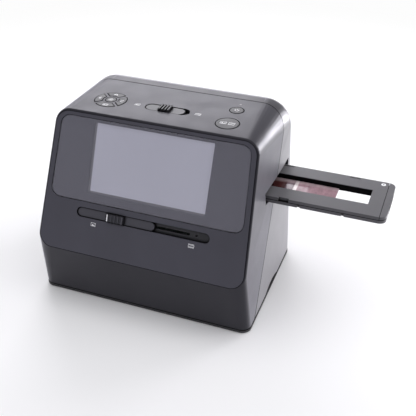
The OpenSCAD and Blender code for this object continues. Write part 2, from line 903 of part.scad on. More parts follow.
// Camera above the film, looking down
tower_l = 44;
tower_t = 3;
tower_z = path_z + rail_h;
sensor_chip_t = 1.9;
camera_room = 8.25;
tower_h = board_z - camera_room - sensor_chip_t - board_t - tower_z;
barrel_gap = 1;
barrel_l = tower_h - tower_t - barrel_gap;
thread_d = barrel_d - 5;
lens_d = barrel_d - 6;
lens_lip = 2;
lens_seat = 4;
gusset_h = 12;
gusset_out = 3;
gusset_in = 9;
sensor_w = 38;
sensor_chip = 14;

module camera_tower() {
    color([0.24, 0.24, 0.25])
        difference() {
            union() {
                for (side = [-1, 1]) {
                    translate([0, film_y + side * (rail_in + rail_t / 2), tower_z])
                        block(tower_l, rail_t, tower_h);
                    translate([0, film_y + side * rail_in, tower_z + tower_h - gusset_h])
                        rotate([90, 0, 90])
                            linear_extrude(height = tower_t, center = true)
                                polygon([[side * gusset_out, 0], [side * gusset_out, gusset_h],
                                    [-side * gusset_in, gusset_h]]);
                }
                translate([0, film_y, tower_z + tower_h - tower_t])
                    block(tower_l, 2 * (rail_in + rail_t), tower_t);
            }
            translate([0, film_y, tower_z])
                cylinder(d = thread_d, h = tower_h + cut, $fn = round_fn);
        }
}

module lens_barrel() {
    color([0.08, 0.08, 0.08])
        translate([0, film_y, tower_z + tower_h - tower_t])
            rotate_extrude($fn = fine_fn)
                polygon([[lens_d / 2 - lens_lip, lens_seat - barrel_l], [lens_d / 2, lens_seat - barrel_l],
                    [lens_d / 2, -barrel_l], [barrel_d / 2, -barrel_l], [barrel_d / 2, 0],
                    [thread_d / 2 - seat_gap, 0], [thread_d / 2 - seat_gap, tower_t],
                    [lens_d / 2 - lens_lip, tower_t]]);
}

// Convex lens in the mouth of the barrel
lens_edge = 2;
lens_crown = 1.6;
lens_fit = 0.1;
lens_rad = (pow(lens_d / 2 - lens_fit, 2) + pow(lens_crown, 2)) / (2 * lens_crown);
module front_lens() {
    color([0.6, 0.7, 0.8, 0.5])
        translate([0, film_y, tower_z + tower_h - tower_t - barrel_l + lens_seat])
            intersection() {
                translate([0, 0, -lens_edge - lens_crown])
                    cylinder(d = lens_d - 2 * lens_fit, h = lens_edge + lens_crown, $fn = fine_fn);
                translate([0, 0, lens_rad - lens_edge - lens_crown])
                    sphere(r = lens_rad, $fn = fine_fn);
            }
}

module sensor_board() {
    color([0.1, 0.35, 0.2])
        translate([0, film_y, tower_z + tower_h]) {
            block(sensor_w, sensor_w, board_t);
            translate([0, 0, board_t - sunk])
                block(sensor_chip, sensor_chip, sensor_chip_t + sunk);
        }
}

// Chips on the front of the main board
chip_z = 40;
processor_w = 24;
processor_t = 2;
memory_l = 12;
memory_h = 16;
memory_t = 1.5;
memory_x = 38;

module main_board() {
    color([0.1, 0.35, 0.2])
        translate([0, main_y, main_z]) {
            translate([-main_w / 2, 0, 0])
                cube([main_w, board_t, main_h]);
            translate([-processor_w / 2, -processor_t, chip_z])
                cube([processor_w, processor_t + sunk, processor_w]);
            for (side = [-1, 1])
                translate([side * memory_x - memory_l / 2, -memory_t, chip_z])
                    cube([memory_l, memory_t + sunk, memory_h]);
        }
}

// Depth from the board to the outer face of the back at the ports
port_l = back_y - (port_z + port_h) * tan(rear_draft) - port_sink - main_y - board_t;

module data_port() {
    color("silver")
        translate([port_x, main_y + board_t, port_z + slide_gap])
            difference() {
                translate([-port_w / 2, 0, 0])
                    cube([port_w, port_l, port_h]);
                translate([-port_w / 2 + port_skin, port_floor, port_skin])
                    cube([port_w - 2 * port_skin, port_l, port_h - 2 * port_skin]);
            }
}

module card_socket() {
    color("silver")
        translate([card_x, main_y + board_t, port_z + slide_gap - card_skin])
            difference() {
                translate([-card_w / 2, 0, 0])
                    cube([card_w, port_l - wall - slide_gap, card_h]);
                translate([-card_mouth_w / 2, port_floor, card_skin])
                    cube([card_mouth_w, port_l, card_mouth_h]);
            }
}

// Light boards for prints, on the inner faces of the end plates
light_l = 60;
light_h = 18;
light_z = 62;
light_lamps = 5;
light_pitch = light_l / light_lamps;
module print_lights() {
    color([0.85, 0.86, 0.82])
        for (side = [-1, 1]) {
            translate([side * (end_x - end_t / 2 - board_t / 2), film_y, light_z])
                block(board_t, light_l, light_h);
            for (i = [0:light_lamps - 1])
                translate([side * (end_x - (end_t - sunk + lamp_t) / 2 - board_t),
                    film_y + (i + 0.5) * light_pitch - light_l / 2, light_z + (light_h - lamp_w) / 2])
                    block(lamp_t + sunk, lamp_l, lamp_w);
        }
}

// Centres of the push switches
pad_mid = (pad_d + pad_ring_d) / 4;
push_places = concat(
    [for (turn = [0:90:270]) [pad_x + pad_mid * cos(turn), pad_y + pad_mid * sin(turn)]],
    [[pad_x, pad_y], [power_x, power_y], [scan_x, scan_y]]);

push_w = 4.6;
plunger_d = 2.6;
plunger_out = 1;

module button_board() {
    color([0.1, 0.35, 0.2])
        translate([board_x0, board_y0, board_z])
            cube([board_x1 - board_x0, board_y1 - board_y0, board_t]);
}

module push_switches() {
    color("silver")
        for (p = push_places)
            translate([p[0], p[1], board_z + board_t]) {
                block(push_w, push_w, push_h - plunger_out);
                cylinder(d = plunger_d, h = push_h, $fn = round_fn);
            }
}

// Slide switch on the top: tray under the opening, knob in it, switch on the board
tray_floor = 1.2;
tray_h = 3.6;
tray_rim = 2.5;
tray_room = 0.5;
tray_z = top_in - tray_h;
knob_gap = 0.6;
knob_l = switch_l - 2 * knob_gap - switch_travel;
knob_x = -switch_travel / 2;
knob_sink = 0.3;
knob_top = body_h - knob_sink;
knob_grip_l = 11;
knob_grip_out = 1.9;
knob_bars = 4;
knob_bar_gap = 1;
knob_bar_in = 1.2;
knob_bar_r = 0.6;
knob_seat_in = 1;
knob_seat_h = 1;
knob_seat_r = 0.8;
knob_stem_l = 6;
knob_stem_w = 2.4;
knob_stem_z = board_z + board_t + 1.5;
switch_h = 3;
switch_body_l = 16;
switch_body_w = 6;
switch_body_skin = 1;
switch_body_mouth = 3.4;

module switch_tray() {
    color([0.08, 0.08, 0.08])
        translate([0, switch_y, tray_z])
            difference() {
                block(switch_l + 2 * tray_rim, switch_w + 2 * tray_rim, tray_h);
                translate([0, 0, tray_floor])
                    slot_block(switch_l + 2 * tray_room, switch_w + 2 * tray_room, tray_h);
                translate([0, 0, -cut])
                    block(knob_stem_l + switch_travel + 2 * slide_gap, knob_stem_w + 2 * slide_gap,
                        tray_floor + 2 * cut);
            }
}

module switch_body() {
    color("silver")
        translate([0, switch_y, board_z + board_t])
            difference() {
                block(switch_body_l, switch_body_w, switch_h);
                translate([0, 0, switch_body_skin])
                    block(knob_stem_l + switch_travel + 4 * slide_gap, switch_body_mouth, switch_h);
            }
}

module switch_knob() {
    color([0.15, 0.15, 0.16])
        translate([knob_x, switch_y, 0]) {
            translate([0, 0, tray_z + tray_floor + slide_gap])
                slot_block(knob_l, switch_w - 2 * knob_gap, knob_top - tray_z - tray_floor - slide_gap);
            for (i = [0:knob_bars - 1])
                translate([(i + 0.5) * knob_grip_l / knob_bars - knob_grip_l / 2, 0, knob_top - cut / 2])
                    rounded_block(knob_grip_l / knob_bars - knob_bar_gap, switch_w - 2 * knob_bar_in,
                        cut / 2 + knob_sink + knob_grip_out, knob_bar_r);
            translate([0, 0, knob_top - cut / 2])
                rounded_block(knob_grip_l, switch_w - 2 * knob_seat_in, cut / 2 + knob_seat_h, knob_seat_r);
            translate([0, 0, knob_stem_z])
                block(knob_stem_l, knob_stem_w, knob_top - cut - knob_stem_z);
        }
}

light_rise = 0.2;
module status_light() {
    color([0.8, 0.85, 0.9])
        translate([power_x, light_y, board_z + board_t])
            cylinder(d = light_d, h = body_h + light_rise - board_z - board_t, $fn = round_fn);
}

// Round button with a flange under the top, a stem to its switch and a rounded edge
edge_r = 0.7;
edge_step = 0.2;
module round_button(d) {
    r = d / 2 - button_gap;
    cap = body_h + button_rise;
    rotate_extrude($fn = fine_fn)
        polygon([[0, stem_z], [stem_d / 2, stem_z], [stem_d / 2, flange_top - flange_t],
            [r + flange_w, flange_top - flange_t], [r + flange_w, flange_top], [r, flange_top],
            [r, cap - edge_r], [r - edge_step, cap - edge_step], [r - edge_r, cap], [0, cap]]);
}

// Direction button: sector with a flange and a stem
module direction_button(turn) {
    color([0.17, 0.17, 0.18])
        translate([pad_x, pad_y, 0]) {
            translate([0, 0, flange_top - flange_t])
                pad_sector(turn, flange_w - button_gap, flange_t);
            translate([0, 0, flange_top - flange_t])
                pad_sector(turn, -button_gap, body_h + button_rise - flange_top + flange_t);
            translate([pad_mid * cos(turn), pad_mid * sin(turn), stem_z])
                cylinder(d = stem_d, h = flange_top - stem_z, $fn = round_fn);
        }
}

module button_right() {
    direction_button(0);
}

module button_up() {
    direction_button(90);
}

module button_left() {
    direction_button(180);
}

module button_down() {
    direction_button(270);
}

module button_middle() {
    color([0.17, 0.17, 0.18])
        translate([pad_x, pad_y, 0])
            round_button(middle_d);
}

module power_button() {
    color([0.17, 0.17, 0.18])
        translate([power_x, power_y, 0])
            round_button(power_d);
}

module scan_button() {
    color([0.17, 0.17, 0.18])
        translate([scan_x, scan_y, 0])
            round_button(scan_d);
}

// Film holder, partly pulled out at rest
window_l = frame_count * frame_pitch - frame_gap;
holder_x = holder_reach - holder_l / 2;
lip_l = 5.5;
lid_gap = 0.45;
lid_l = holder_l - 2 * (lip_l + lid_gap);
lid_z = holder_z + holder_base_t;
hinge_r = 2;
hinge_l = 9;
hinge_in = 1.8;
hinge_z = holder_top - hinge_r;
hinge_places = [-2.5 * frame_pitch, -0.9 * frame_pitch, 0.9 * frame_pitch, 2.5 * frame_pitch];
notch_r = 1.3;
film_sink = 2;
film_z = lid_z - film_sink;
film_gap = 0.1;
film_play = 0.5;
pad_h = film_sink - film_t - film_gap;
magnet_d = 4.2;
magnet_t = 1.8;
magnet_in = 10.5;
magnet_edge = 4.7;
tab_l = 9;
tab_w = 3;

// Cuts for the hinge barrels in the back edge
module hinge_cuts() {
    for (x = hinge_places)
        translate([holder_x + x, film_y + holder_w / 2 - hinge_in, hinge_z])
            rotate([0, 90, 0])
                cylinder(r = hinge_r + seat_gap, h = hinge_l + 2 * seat_gap, center = true, $fn = round_fn);
}

module holder_base() {
    color([0.2, 0.2, 0.21])
        difference() {
            translate([holder_x, film_y, holder_z])
                rounded_block(holder_l, holder_w, holder_base_t + holder_lid_t, holder_r);
            translate([holder_x, film_y, lid_z])
                block(holder_l - 2 * lip_l, holder_w + 2 * cut, holder_lid_t + cut);
            translate([holder_x, film_y, film_z])
                block(holder_l - 2 * lip_l, film_w + film_play, film_sink + cut);
            translate([holder_x, film_y, holder_z - cut])
                block(window_l, frame_h, holder_base_t + 2 * cut);
            hinge_cuts();
            for (i = [0:frame_count - 1])
                translate([holder_x + (frame_count / 2 - i - 0.5) * frame_pitch, film_y - holder_w / 2,
                    holder_z - cut])
                    cylinder(r = notch_r, h = holder_base_t + 2 * cut, $fn = round_fn);
        }
}

// Place of the magnet that holds the lid shut, at the floor of its pocket
module magnet_place() {
    translate([holder_reach - magnet_in, film_y + holder_w / 2 - magnet_edge, lid_z + holder_lid_t - magnet_t])
        children();
}

module holder_lid() {
    color([0.22, 0.22, 0.23])
        difference() {
            union() {
                translate([holder_x, film_y, lid_z])
                    block(lid_l, holder_w, holder_lid_t);
                translate([holder_x, film_y, lid_z - pad_h])
                    block(lid_l, film_w, pad_h + cut);
            }
            translate([holder_x, film_y, film_z - cut])
                block(window_l, frame_h, film_sink + holder_lid_t + 2 * cut);
            hinge_cuts();
            for (x = [-1, 1])
                translate([holder_x + x * holder_l / 6, film_y - holder_w / 2, lid_z - cut])
                    block(tab_l, tab_w, holder_lid_t + 2 * cut);
            magnet_place()
                cylinder(d = magnet_d + seat_gap, h = magnet_t + cut, $fn = round_fn);
        }
}

module lid_magnet() {
    color("silver")
        magnet_place()
            cylinder(d = magnet_d, h = magnet_t, $fn = round_fn);
}

module holder_hinges() {
    color([0.12, 0.12, 0.12])
        for (x = hinge_places)
            translate([holder_x + x, film_y + holder_w / 2 - hinge_in, hinge_z])
                rotate([0, 90, 0])
                    cylinder(r = hinge_r, h = hinge_l, center = true, $fn = round_fn);
}

// Film with a row of perforations along each edge
perf_l = 1.98;
perf_w = 2.8;
perf_pitch = 4.75;
perf_edge = 2;
perf_count = floor(film_l / perf_pitch);
module film_strip() {
    color([0.75, 0.4, 0.4])
        translate([holder_reach - film_end, film_y, film_z])
            linear_extrude(height = film_t)
                difference() {
                    translate([-film_l, -film_w / 2])
                        square([film_l, film_w]);
                    for (i = [0:perf_count - 1], side = [-1, 1])
                        translate([-perf_pitch * (i + 0.5) - perf_l / 2,
                            side * (film_w / 2 - perf_edge - perf_w / 2) - perf_w / 2])
                            square([perf_l, perf_w]);
                }
}

front_shell();
rear_shell();
base_plate();
finger_cups();
rubber_feet();
case_screws();
print_glass();
front_panel();
screen_window();
display_module();
slider_channel();
selector_slider();
light_carriage();
diffuser();
backlight_board();
film_chassis();
film_rails();
guide_rods();
detent_spring();
camera_tower();
lens_barrel();
front_lens();
sensor_board();
main_board();
data_port();
card_socket();
print_lights();
button_board();
push_switches();
switch_tray();
switch_body();
switch_knob();
status_light();
button_right();
button_up();
button_left();
button_down();
button_middle();
power_button();
scan_button();
holder_base();
holder_lid();
lid_magnet();
holder_hinges();
film_strip();
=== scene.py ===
import json
import math

import bmesh
import bpy
from mathutils import Matrix, Vector


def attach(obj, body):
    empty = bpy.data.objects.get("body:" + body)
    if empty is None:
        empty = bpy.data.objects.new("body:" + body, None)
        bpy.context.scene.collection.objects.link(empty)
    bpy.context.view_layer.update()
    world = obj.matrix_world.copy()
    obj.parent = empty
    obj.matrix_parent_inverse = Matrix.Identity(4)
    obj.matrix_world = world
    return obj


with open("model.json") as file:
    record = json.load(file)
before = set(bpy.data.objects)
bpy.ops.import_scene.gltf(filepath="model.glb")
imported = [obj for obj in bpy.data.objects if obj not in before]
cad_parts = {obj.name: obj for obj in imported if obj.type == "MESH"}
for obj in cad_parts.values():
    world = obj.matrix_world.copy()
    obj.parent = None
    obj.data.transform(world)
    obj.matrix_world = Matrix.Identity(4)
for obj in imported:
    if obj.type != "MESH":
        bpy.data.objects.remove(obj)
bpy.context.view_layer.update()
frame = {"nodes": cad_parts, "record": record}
nodes = frame["nodes"]
slot_of = {part["node"]: part["material_slot"] for part in frame["record"]["subparts"]}

# Metres in a millimetre
MM = 0.001

# Camera of the photograph: place, lens and sensor in millimetres, angles in degrees, sight in metres
CAMERA_PLACE = (234.5, -526.7, 449.5)
CAMERA_ELEVATION = 33.498
CAMERA_AZIMUTH = 20.373
CAMERA_LENS = 63.16
CAMERA_SENSOR = 36.0
CAMERA_NEAR = 0.01
CAMERA_FAR = 50

# Case, in millimetres and degrees, as the part's source has it
BODY_W = 205
BODY_D = 138
BODY_H = 170
DRAFT = 3
REAR_DRAFT = 1.5
CREASE_H = 53
CREASE_OVERHANG = 8
PANEL_TILT = 24
SEAM_FOOT = 16.5
SEAM_TOP = 19.5
FRONT_Y = -BODY_D / 2
CREASE_Y = FRONT_Y - CREASE_OVERHANG
PANEL_LEN = (BODY_H - CREASE_H) / math.cos(math.radians(PANEL_TILT))
PANEL_TOP_Y = CREASE_Y + PANEL_LEN * math.sin(math.radians(PANEL_TILT))
TOP_BACK_Y = BODY_D / 2 - BODY_H * math.tan(math.radians(REAR_DRAFT))
SEAM_FOOT_Y = FRONT_Y + SEAM_FOOT
SEAM_SLOPE = (TOP_BACK_Y - SEAM_TOP - SEAM_FOOT_Y) / BODY_H

# Window, screen and slider slot in the front panel; an S is a distance up the panel from its crease
PANEL_GAP = 0.4
WINDOW_T = 1.2
WINDOW_BORDER = 6.3
WINDOW_TOP = 5
WINDOW_H = 74
WINDOW_R = 9
SCREEN_W = 110.7
SCREEN_H = 62.3
SCREEN_TOP = 8.2
SCREEN_S = PANEL_LEN - SCREEN_TOP - SCREEN_H / 2
SLOT_W = 8.9
SLOT_DROP = 5.1
SLOT_S = PANEL_LEN - WINDOW_TOP - WINDOW_H - SLOT_DROP - SLOT_W / 2
SLIDER_X = -25.05
GRIP_L = 16.5
GRIP_OUT = 2.2

# Controls on the top, set back from the panel's upper edge; PAD_MID is from the pad's middle to its icons
BUTTON_RISE = 0.2
BUTTON_TOP = BODY_H + BUTTON_RISE
PAD_X = -55
PAD_Y = PANEL_TOP_Y + 28.5
PAD_MID = 11
SCAN_X = 58
SCAN_Y = PANEL_TOP_Y + 20.5
POWER_X = 57.5
POWER_Y = PANEL_TOP_Y + 47
SWITCH_Y = PANEL_TOP_Y + 28

# Icons beside the slide switch, and the two icons under the slot: across and up the panel
SWITCH_ICON_X = 28.5
SLOT_PRINT_ICON = (-45.5, 30.4)
SLOT_FILM_ICON = (47.5, 30.6)

# Film holder, its magnet and its film
HOLDER_REACH = 199.5
LID_Z = 108.5
LID_T = 3.2
HOLDER_TOP = LID_Z + LID_T
MAGNET_X = 189
MAGNET_Y = 40.55
# Painted shade of a dimple in the magnet's middle: full within the first radius, gone at the second, in
# millimetres
MAGNET_DIMPLE_SHADE = (0.6, 0.8)
FILM_END = 47
FILM_END_X = HOLDER_REACH - FILM_END
FILM_LEN = 196
FILM_Y = 16.5
FRAME_H = 24
FRAME_PITCH = 38
FRAME_GAP = 2.4
FRAME_GAP_X = 115.4
FRAME_EDGE = 0.2
PATCH_LEN = 7.4

# Sockets in the back, with the places of their contacts
PORT_X = 32
PORT_Z = 26.1
PORT_MOUTH_Y = 67.28
PORT_INSET = 0.3
PIN_OUT = 0.42
CARD_X = -30
CARD_Z = 25.7
CARD_MOUTH_Y = 64.48
SPRING_DOWN = 1.1

# Generic tones of the film: clear gap, lighter patch, pale far side with its fade and share, each frame;
# the frame before the patch is dark as painted shade from the case
FILM_CLEAR = (0.95, 0.88, 0.88)
PATCH_TONE = (0.21, 0.138, 0.165)
FAR_TONE = (0.8, 0.68, 0.7)
FAR_FADE = (4, 10)
FAR_SHARE = 0.5
FRAME_TONES = [
    (0.3, 0.16, 0.15),
    (0.16, 0.07, 0.065),
    (0.38, 0.25, 0.23),
    (0.22, 0.1, 0.1),
    # Dark tone of the frame before the lighter patch: painted shade from the case where the window shows it
    (0.09, 0.027, 0.027),
    (0.465, 0.295, 0.34),
]

# Painted shade lines in the gaps of the case: width of the seam's line, its full share and how it widens
# low down
SEAM_LINE = 0.7
SEAM_CORE = 0.4
SEAM_WIDENS_BELOW = 60
SEAM_WIDEST_AT = 5
SEAM_WIDENING = 0.9

# Painted shade lines at the level partings over the base and round the holder: height and width
BASE_LINE = (3.82, 0.75)
HOLDER_LINE = (LID_Z, 0.4)

# Painted shade on the walls of the holder's window: fade away from its middle and fade below the lid's top
WINDOW_WALL = (13.2, 13.8)
WINDOW_RIM = (0.7, 0.3)

# Painted shade in gaps, grooves and at outer edges: reach, tone, and the open share where the dark is full
# and where it ends
CREVICE_REACH = 3.0
CREVICE_SHADE = 0.006
CREVICE_RANGE = (0.45, 0.95)
RIM_REACH = 0.9
RIM_RANGE = (0.55, 0.95)
OCCLUSION_SAMPLES = 8

# Moulded plastic: variation of shade and gloss, and how far sideways a face looks where its coat grows
SHADE_VARIATION = 0.1
GLOSS_VARIATION = 0.04
SIDEWAYS_RANGE = (0.75, 0.99)

# Printed ink: bottom and top over the face it is printed on, and the usual stroke
INK_LOW = -0.02
INK_HIGH = 0.03
STROKE = 0.42

# Edges of the solids: rounding by node, the rounding of all others, angles in degrees
EDGES = {
    "front_shell": 0.4,
    "rear_shell": 0.4,
    "base_plate": 0.4,
    "front_panel": 0.35,
    "screen_window": 0.3,
    "holder_base": 0.35,
    "holder_lid": 0.35,
    "selector_slider": 0.3,
    "switch_knob": 0.25,
    "film_strip": 0,
    "display_module": 0.1,
    "print_glass": 0.3,
    "front_lens": 0.1,
    "rubber_feet": 0.3,
}
SMALL_EDGE = 0.18
EDGE_SEGMENTS = 3
EDGE_ANGLE = 35
SMOOTH_ANGLE = 32
WELD_DISTANCE = 0.002

# Floor: size and fade to white in metres, and its white
FLOOR_SIZE = 12
FLOOR_FADE = (0.26, 0.85)
FLOOR_WHITE = 0.98

# Light of the dome by height: where it starts to rise, where it is full, level below, level above
DOME = {"From Min": 0.25, "From Max": 0.85, "To Min": 0.2, "To Max": 0.78}

# Slightly cool white of the lamps, and the cooler light that the window mirrors
LAMP_TINT = (0.965, 0.955, 1.0)
COOL_TINT = (0.84, 0.83, 1.0)

# Lamps: name, place, target and size in metres, power in watts, tint
LAMPS = [
    ("top_softbox", (0.1, 0.1, 1.9), (0, 0, 0.05), (1.8, 1.6), 8.5, LAMP_TINT),
    ("back_softbox", (-0.8, 1.5, 0.95), (0, 0, 0.15), (1.2, 0.8), 16, LAMP_TINT),
    ("right_softbox", (0.9, 1.1, 0.2), (0.08, 0, 0.12), (0.6, 0.4), 17, LAMP_TINT),
    ("right_fill", (1.5, 0.3, 1.0), (0.1, 0, 0.1), (1.0, 1.0), 6.5, LAMP_TINT),
    ("front_softbox", (-0.62, -1.5, 0.5), (0, -0.05, 0.11), (1.2, 0.6), 3.4, COOL_TINT),
]


def half_width(z):
    """Half the width of the case at a height."""
    return BODY_W / 2 - z * math.tan(math.radians(DRAFT))


def panel_height(s):
    """Height of a place on the panel, from its distance up the panel."""
    return CREASE_H + s * math.cos(math.radians(PANEL_TILT))


def on_top(x, y, z=BODY_H):
    """Place on the top, in millimetres."""
    return Matrix.Translation((x, y, z))


def on_panel(x, s, n=0.0):
    """Place on the front panel: across, up from the crease and out of the face."""
    turn = Matrix.Rotation(math.radians(90 - PANEL_TILT), 4, "X")
    return Matrix.Translation((0, CREASE_Y, CREASE_H)) @ turn @ Matrix.Translation((x, s, n))


def make_camera():
    """Camera at the photograph's place and angle."""
    data = bpy.data.cameras.new("camera")
    data.lens = CAMERA_LENS
    data.sensor_width = CAMERA_SENSOR
    data.clip_start = CAMERA_NEAR
    data.clip_end = CAMERA_FAR
    camera = bpy.data.objects.new("camera", data)
    camera.location = Vector(CAMERA_PLACE) * MM
    camera.rotation_euler = (math.radians(90 - CAMERA_ELEVATION), 0, math.radians(CAMERA_AZIMUTH))
    bpy.context.scene.collection.objects.link(camera)
    bpy.context.scene.camera = camera
    bpy.context.scene.view_settings.view_transform = "Standard"


def four_channels(value):
    """A grey number or a colour as four channels."""
    if isinstance(value, (int, float)):
        return (value, value, value, 1)
    return (*value[:3], 1)


class Nodes:
    """Short forms for building a material's node tree."""

    def __init__(self, name):
        self.material = bpy.data.materials.new(name)
        self.material.use_nodes = True
        self.tree = self.material.node_tree
        self.tree.nodes.clear()
        self.output = self.add("ShaderNodeOutputMaterial")
        self.coordinates = None

    def add(self, kind, **settings):
        node = self.tree.nodes.new(kind)
        for key, value in settings.items():
            setattr(node, key, value)
        return node

    def link(self, source, target):
        self.tree.links.new(source, target)

    def surface(self, socket):
        """Shows a shader, and gives the finished material."""
        self.link(socket, self.output.inputs["Surface"])
        return self.material

    def principled(self, **values):
        """Principled shader, with socket names written with _ for a space."""
        shader = self.add("ShaderNodeBsdfPrincipled")
        for key, value in values.items():
            shader.inputs[key.replace("_", " ")].default_value = value
        return shader

    def place(self):
        """Coordinates in the part's frame, in metres, as a node's object sits at the origin."""
        if self.coordinates is None:
            self.coordinates = self.add("ShaderNodeTexCoord").outputs["Object"]
        return self.coordinates

    def panel_place(self):
        """Coordinates on the front panel: across, up from the crease, out of the face, in metres."""
        back = on_panel(0, 0).inverted()
        mapping = self.add("ShaderNodeMapping")
        mapping.inputs["Rotation"].default_value = back.to_euler()
        mapping.inputs["Location"].default_value = back.translation * MM
        self.link(self.place(), mapping.inputs["Vector"])
        return mapping.outputs["Vector"]

    def axes(self, vector):
        """X, Y and Z of a vector."""
        split = self.add("ShaderNodeSeparateXYZ")
        self.link(vector, split.inputs[0])
        return split.outputs

    def math(self, operation, a, b=0.0):
        """One operation on two numbers or sockets."""
        node = self.add("ShaderNodeMath", operation=operation)
        for socket, value in zip(node.inputs, (a, b)):
            if isinstance(value, (int, float)):
                socket.default_value = value
            else:
                self.link(value, socket)
        return node.outputs[0]

    def away_from(self, value, middle):
        """Distance of a coordinate from a place in millimetres."""
        return self.math("ABSOLUTE", self.math("SUBTRACT", value, middle * MM))

    def noise(self, scale, detail=2.0, roughness=0.5, stretch=None):
        """Noise with a scale in waves per metre."""
        node = self.add("ShaderNodeTexNoise")
        node.inputs["Scale"].default_value = scale
        node.inputs["Detail"].default_value = detail
        node.inputs["Roughness"].default_value = roughness
        vector = self.place()
        if stretch:
            mapping = self.add("ShaderNodeMapping")
            mapping.inputs["Scale"].default_value = stretch
            self.link(vector, mapping.inputs["Vector"])
            vector = mapping.outputs["Vector"]
        self.link(vector, node.inputs["Vector"])
        return node.outputs["Fac"]

    def ramp(self, factor, low, high, start=0.3, end=0.7):
        """Colours or greys from low to high over part of a factor's range."""
        return self.stops(factor, [(start, low), (end, high)])

    def stops(self, factor, places):
        """Colour ramp with given stops."""
        node = self.add("ShaderNodeValToRGB")
        ramp = node.color_ramp
        while len(ramp.elements) < len(places):
            ramp.elements.new(1.0)
        for element, (position, colour) in zip(ramp.elements, places):
            element.position = position
            element.color = four_channels(colour)
        self.link(factor, node.inputs["Fac"])
        return node.outputs["Color"]

    def span(self, value, low, high, smooth=False):
        """0 at low to 1 at high, clamped."""
        node = self.add("ShaderNodeMapRange")
        node.interpolation_type = "SMOOTHSTEP" if smooth else "LINEAR"
        node.inputs["From Min"].default_value = low
        node.inputs["From Max"].default_value = high
        self.link(value, node.inputs["Value"])
        return node.outputs["Result"]

    def mix(self, factor, a, b, mode="MIX"):
        """Mix of two colours or sockets."""
        node = self.add("ShaderNodeMix", data_type="RGBA", blend_type=mode)
        if isinstance(factor, (int, float)):
            node.inputs[0].default_value = factor
        else:
            self.link(factor, node.inputs[0])
        for socket, value in zip(node.inputs[6:8], (a, b)):
            if isinstance(value, (int, float, tuple, list)):
                socket.default_value = four_channels(value)
            else:
                self.link(value, socket)
        return node.outputs[2]

    def bump(self, height, depth, under=None):
        """Normal from a height with a depth in millimetres, over another normal."""
        node = self.add("ShaderNodeBump")
        node.inputs["Strength"].default_value = 1.0
        node.inputs["Distance"].default_value = depth * MM
        self.link(height, node.inputs["Height"])
        if under:
            self.link(under, node.inputs["Normal"])
        return node.outputs["Normal"]

    def vary(self, shader, socket, factor, low, high):
        """Drives a shader's socket from low to high."""
        self.link(self.ramp(factor, low, high), shader.inputs[socket])

    def dent(self, shader, height, depth, under=None):
        """Gives a shader a bumpy surface with a depth in millimetres."""
        self.link(self.bump(height, depth, under), shader.inputs["Normal"])

    def mix_shaders(self, factor, a, b):
        node = self.add("ShaderNodeMixShader")
        self.link(factor, node.inputs[0])
        self.link(a, node.inputs[1])
        self.link(b, node.inputs[2])
        return node.outputs[0]

    def painted_crevice_shade(self):
        """Painted shade in gaps and grooves: 1 on open faces, falling to 0 there."""
        node = self.add("ShaderNodeAmbientOcclusion", samples=OCCLUSION_SAMPLES, only_local=False)
        node.inputs["Distance"].default_value = CREVICE_REACH * MM
        return self.span(node.outputs["AO"], *CREVICE_RANGE)

    def painted_rim_shade(self):
        """Painted shade at outer edges: 0 at outer edges, 1 away from them."""
        node = self.add("ShaderNodeAmbientOcclusion", samples=OCCLUSION_SAMPLES, only_local=True)
        node.inside = True
        node.inputs["Distance"].default_value = RIM_REACH * MM
        return self.span(node.outputs["AO"], *RIM_RANGE)

    def off_seam_shade(self):
        """Painted shade along the seam: 0 in the line between the two shells, 1 beside it."""
        _, y, z = self.axes(self.place())[:3]
        ahead = self.math("ADD", self.math("MULTIPLY", z, -SEAM_SLOPE), -SEAM_FOOT_Y * MM)
        away = self.math("ABSOLUTE", self.math("ADD", y, ahead))
        low = self.span(z, SEAM_WIDENS_BELOW * MM, SEAM_WIDEST_AT * MM)
        wider = self.math("ADD", self.math("MULTIPLY", low, SEAM_WIDENING), 1.0)
        return self.span(self.math("DIVIDE", away, wider), SEAM_LINE * SEAM_CORE * MM, SEAM_LINE * MM)

    def off_level_shade(self, level, width):
        """Painted shade of a level parting line: 0 in the line, 1 above and below it."""
        away = self.away_from(self.axes(self.place())["Z"], level)
        return self.span(away, width / 2 * MM, width * MM)

    def off_window_shade(self):
        """Painted shade on the walls of the holder's picture window: 0 there, 1 elsewhere."""
        _, y, z = self.axes(self.place())[:3]
        outside = self.span(self.away_from(y, FILM_Y), *[edge * MM for edge in WINDOW_WALL])
        above = self.span(z, *[(HOLDER_TOP - drop) * MM for drop in WINDOW_RIM])
        return self.math("MAXIMUM", outside, above)


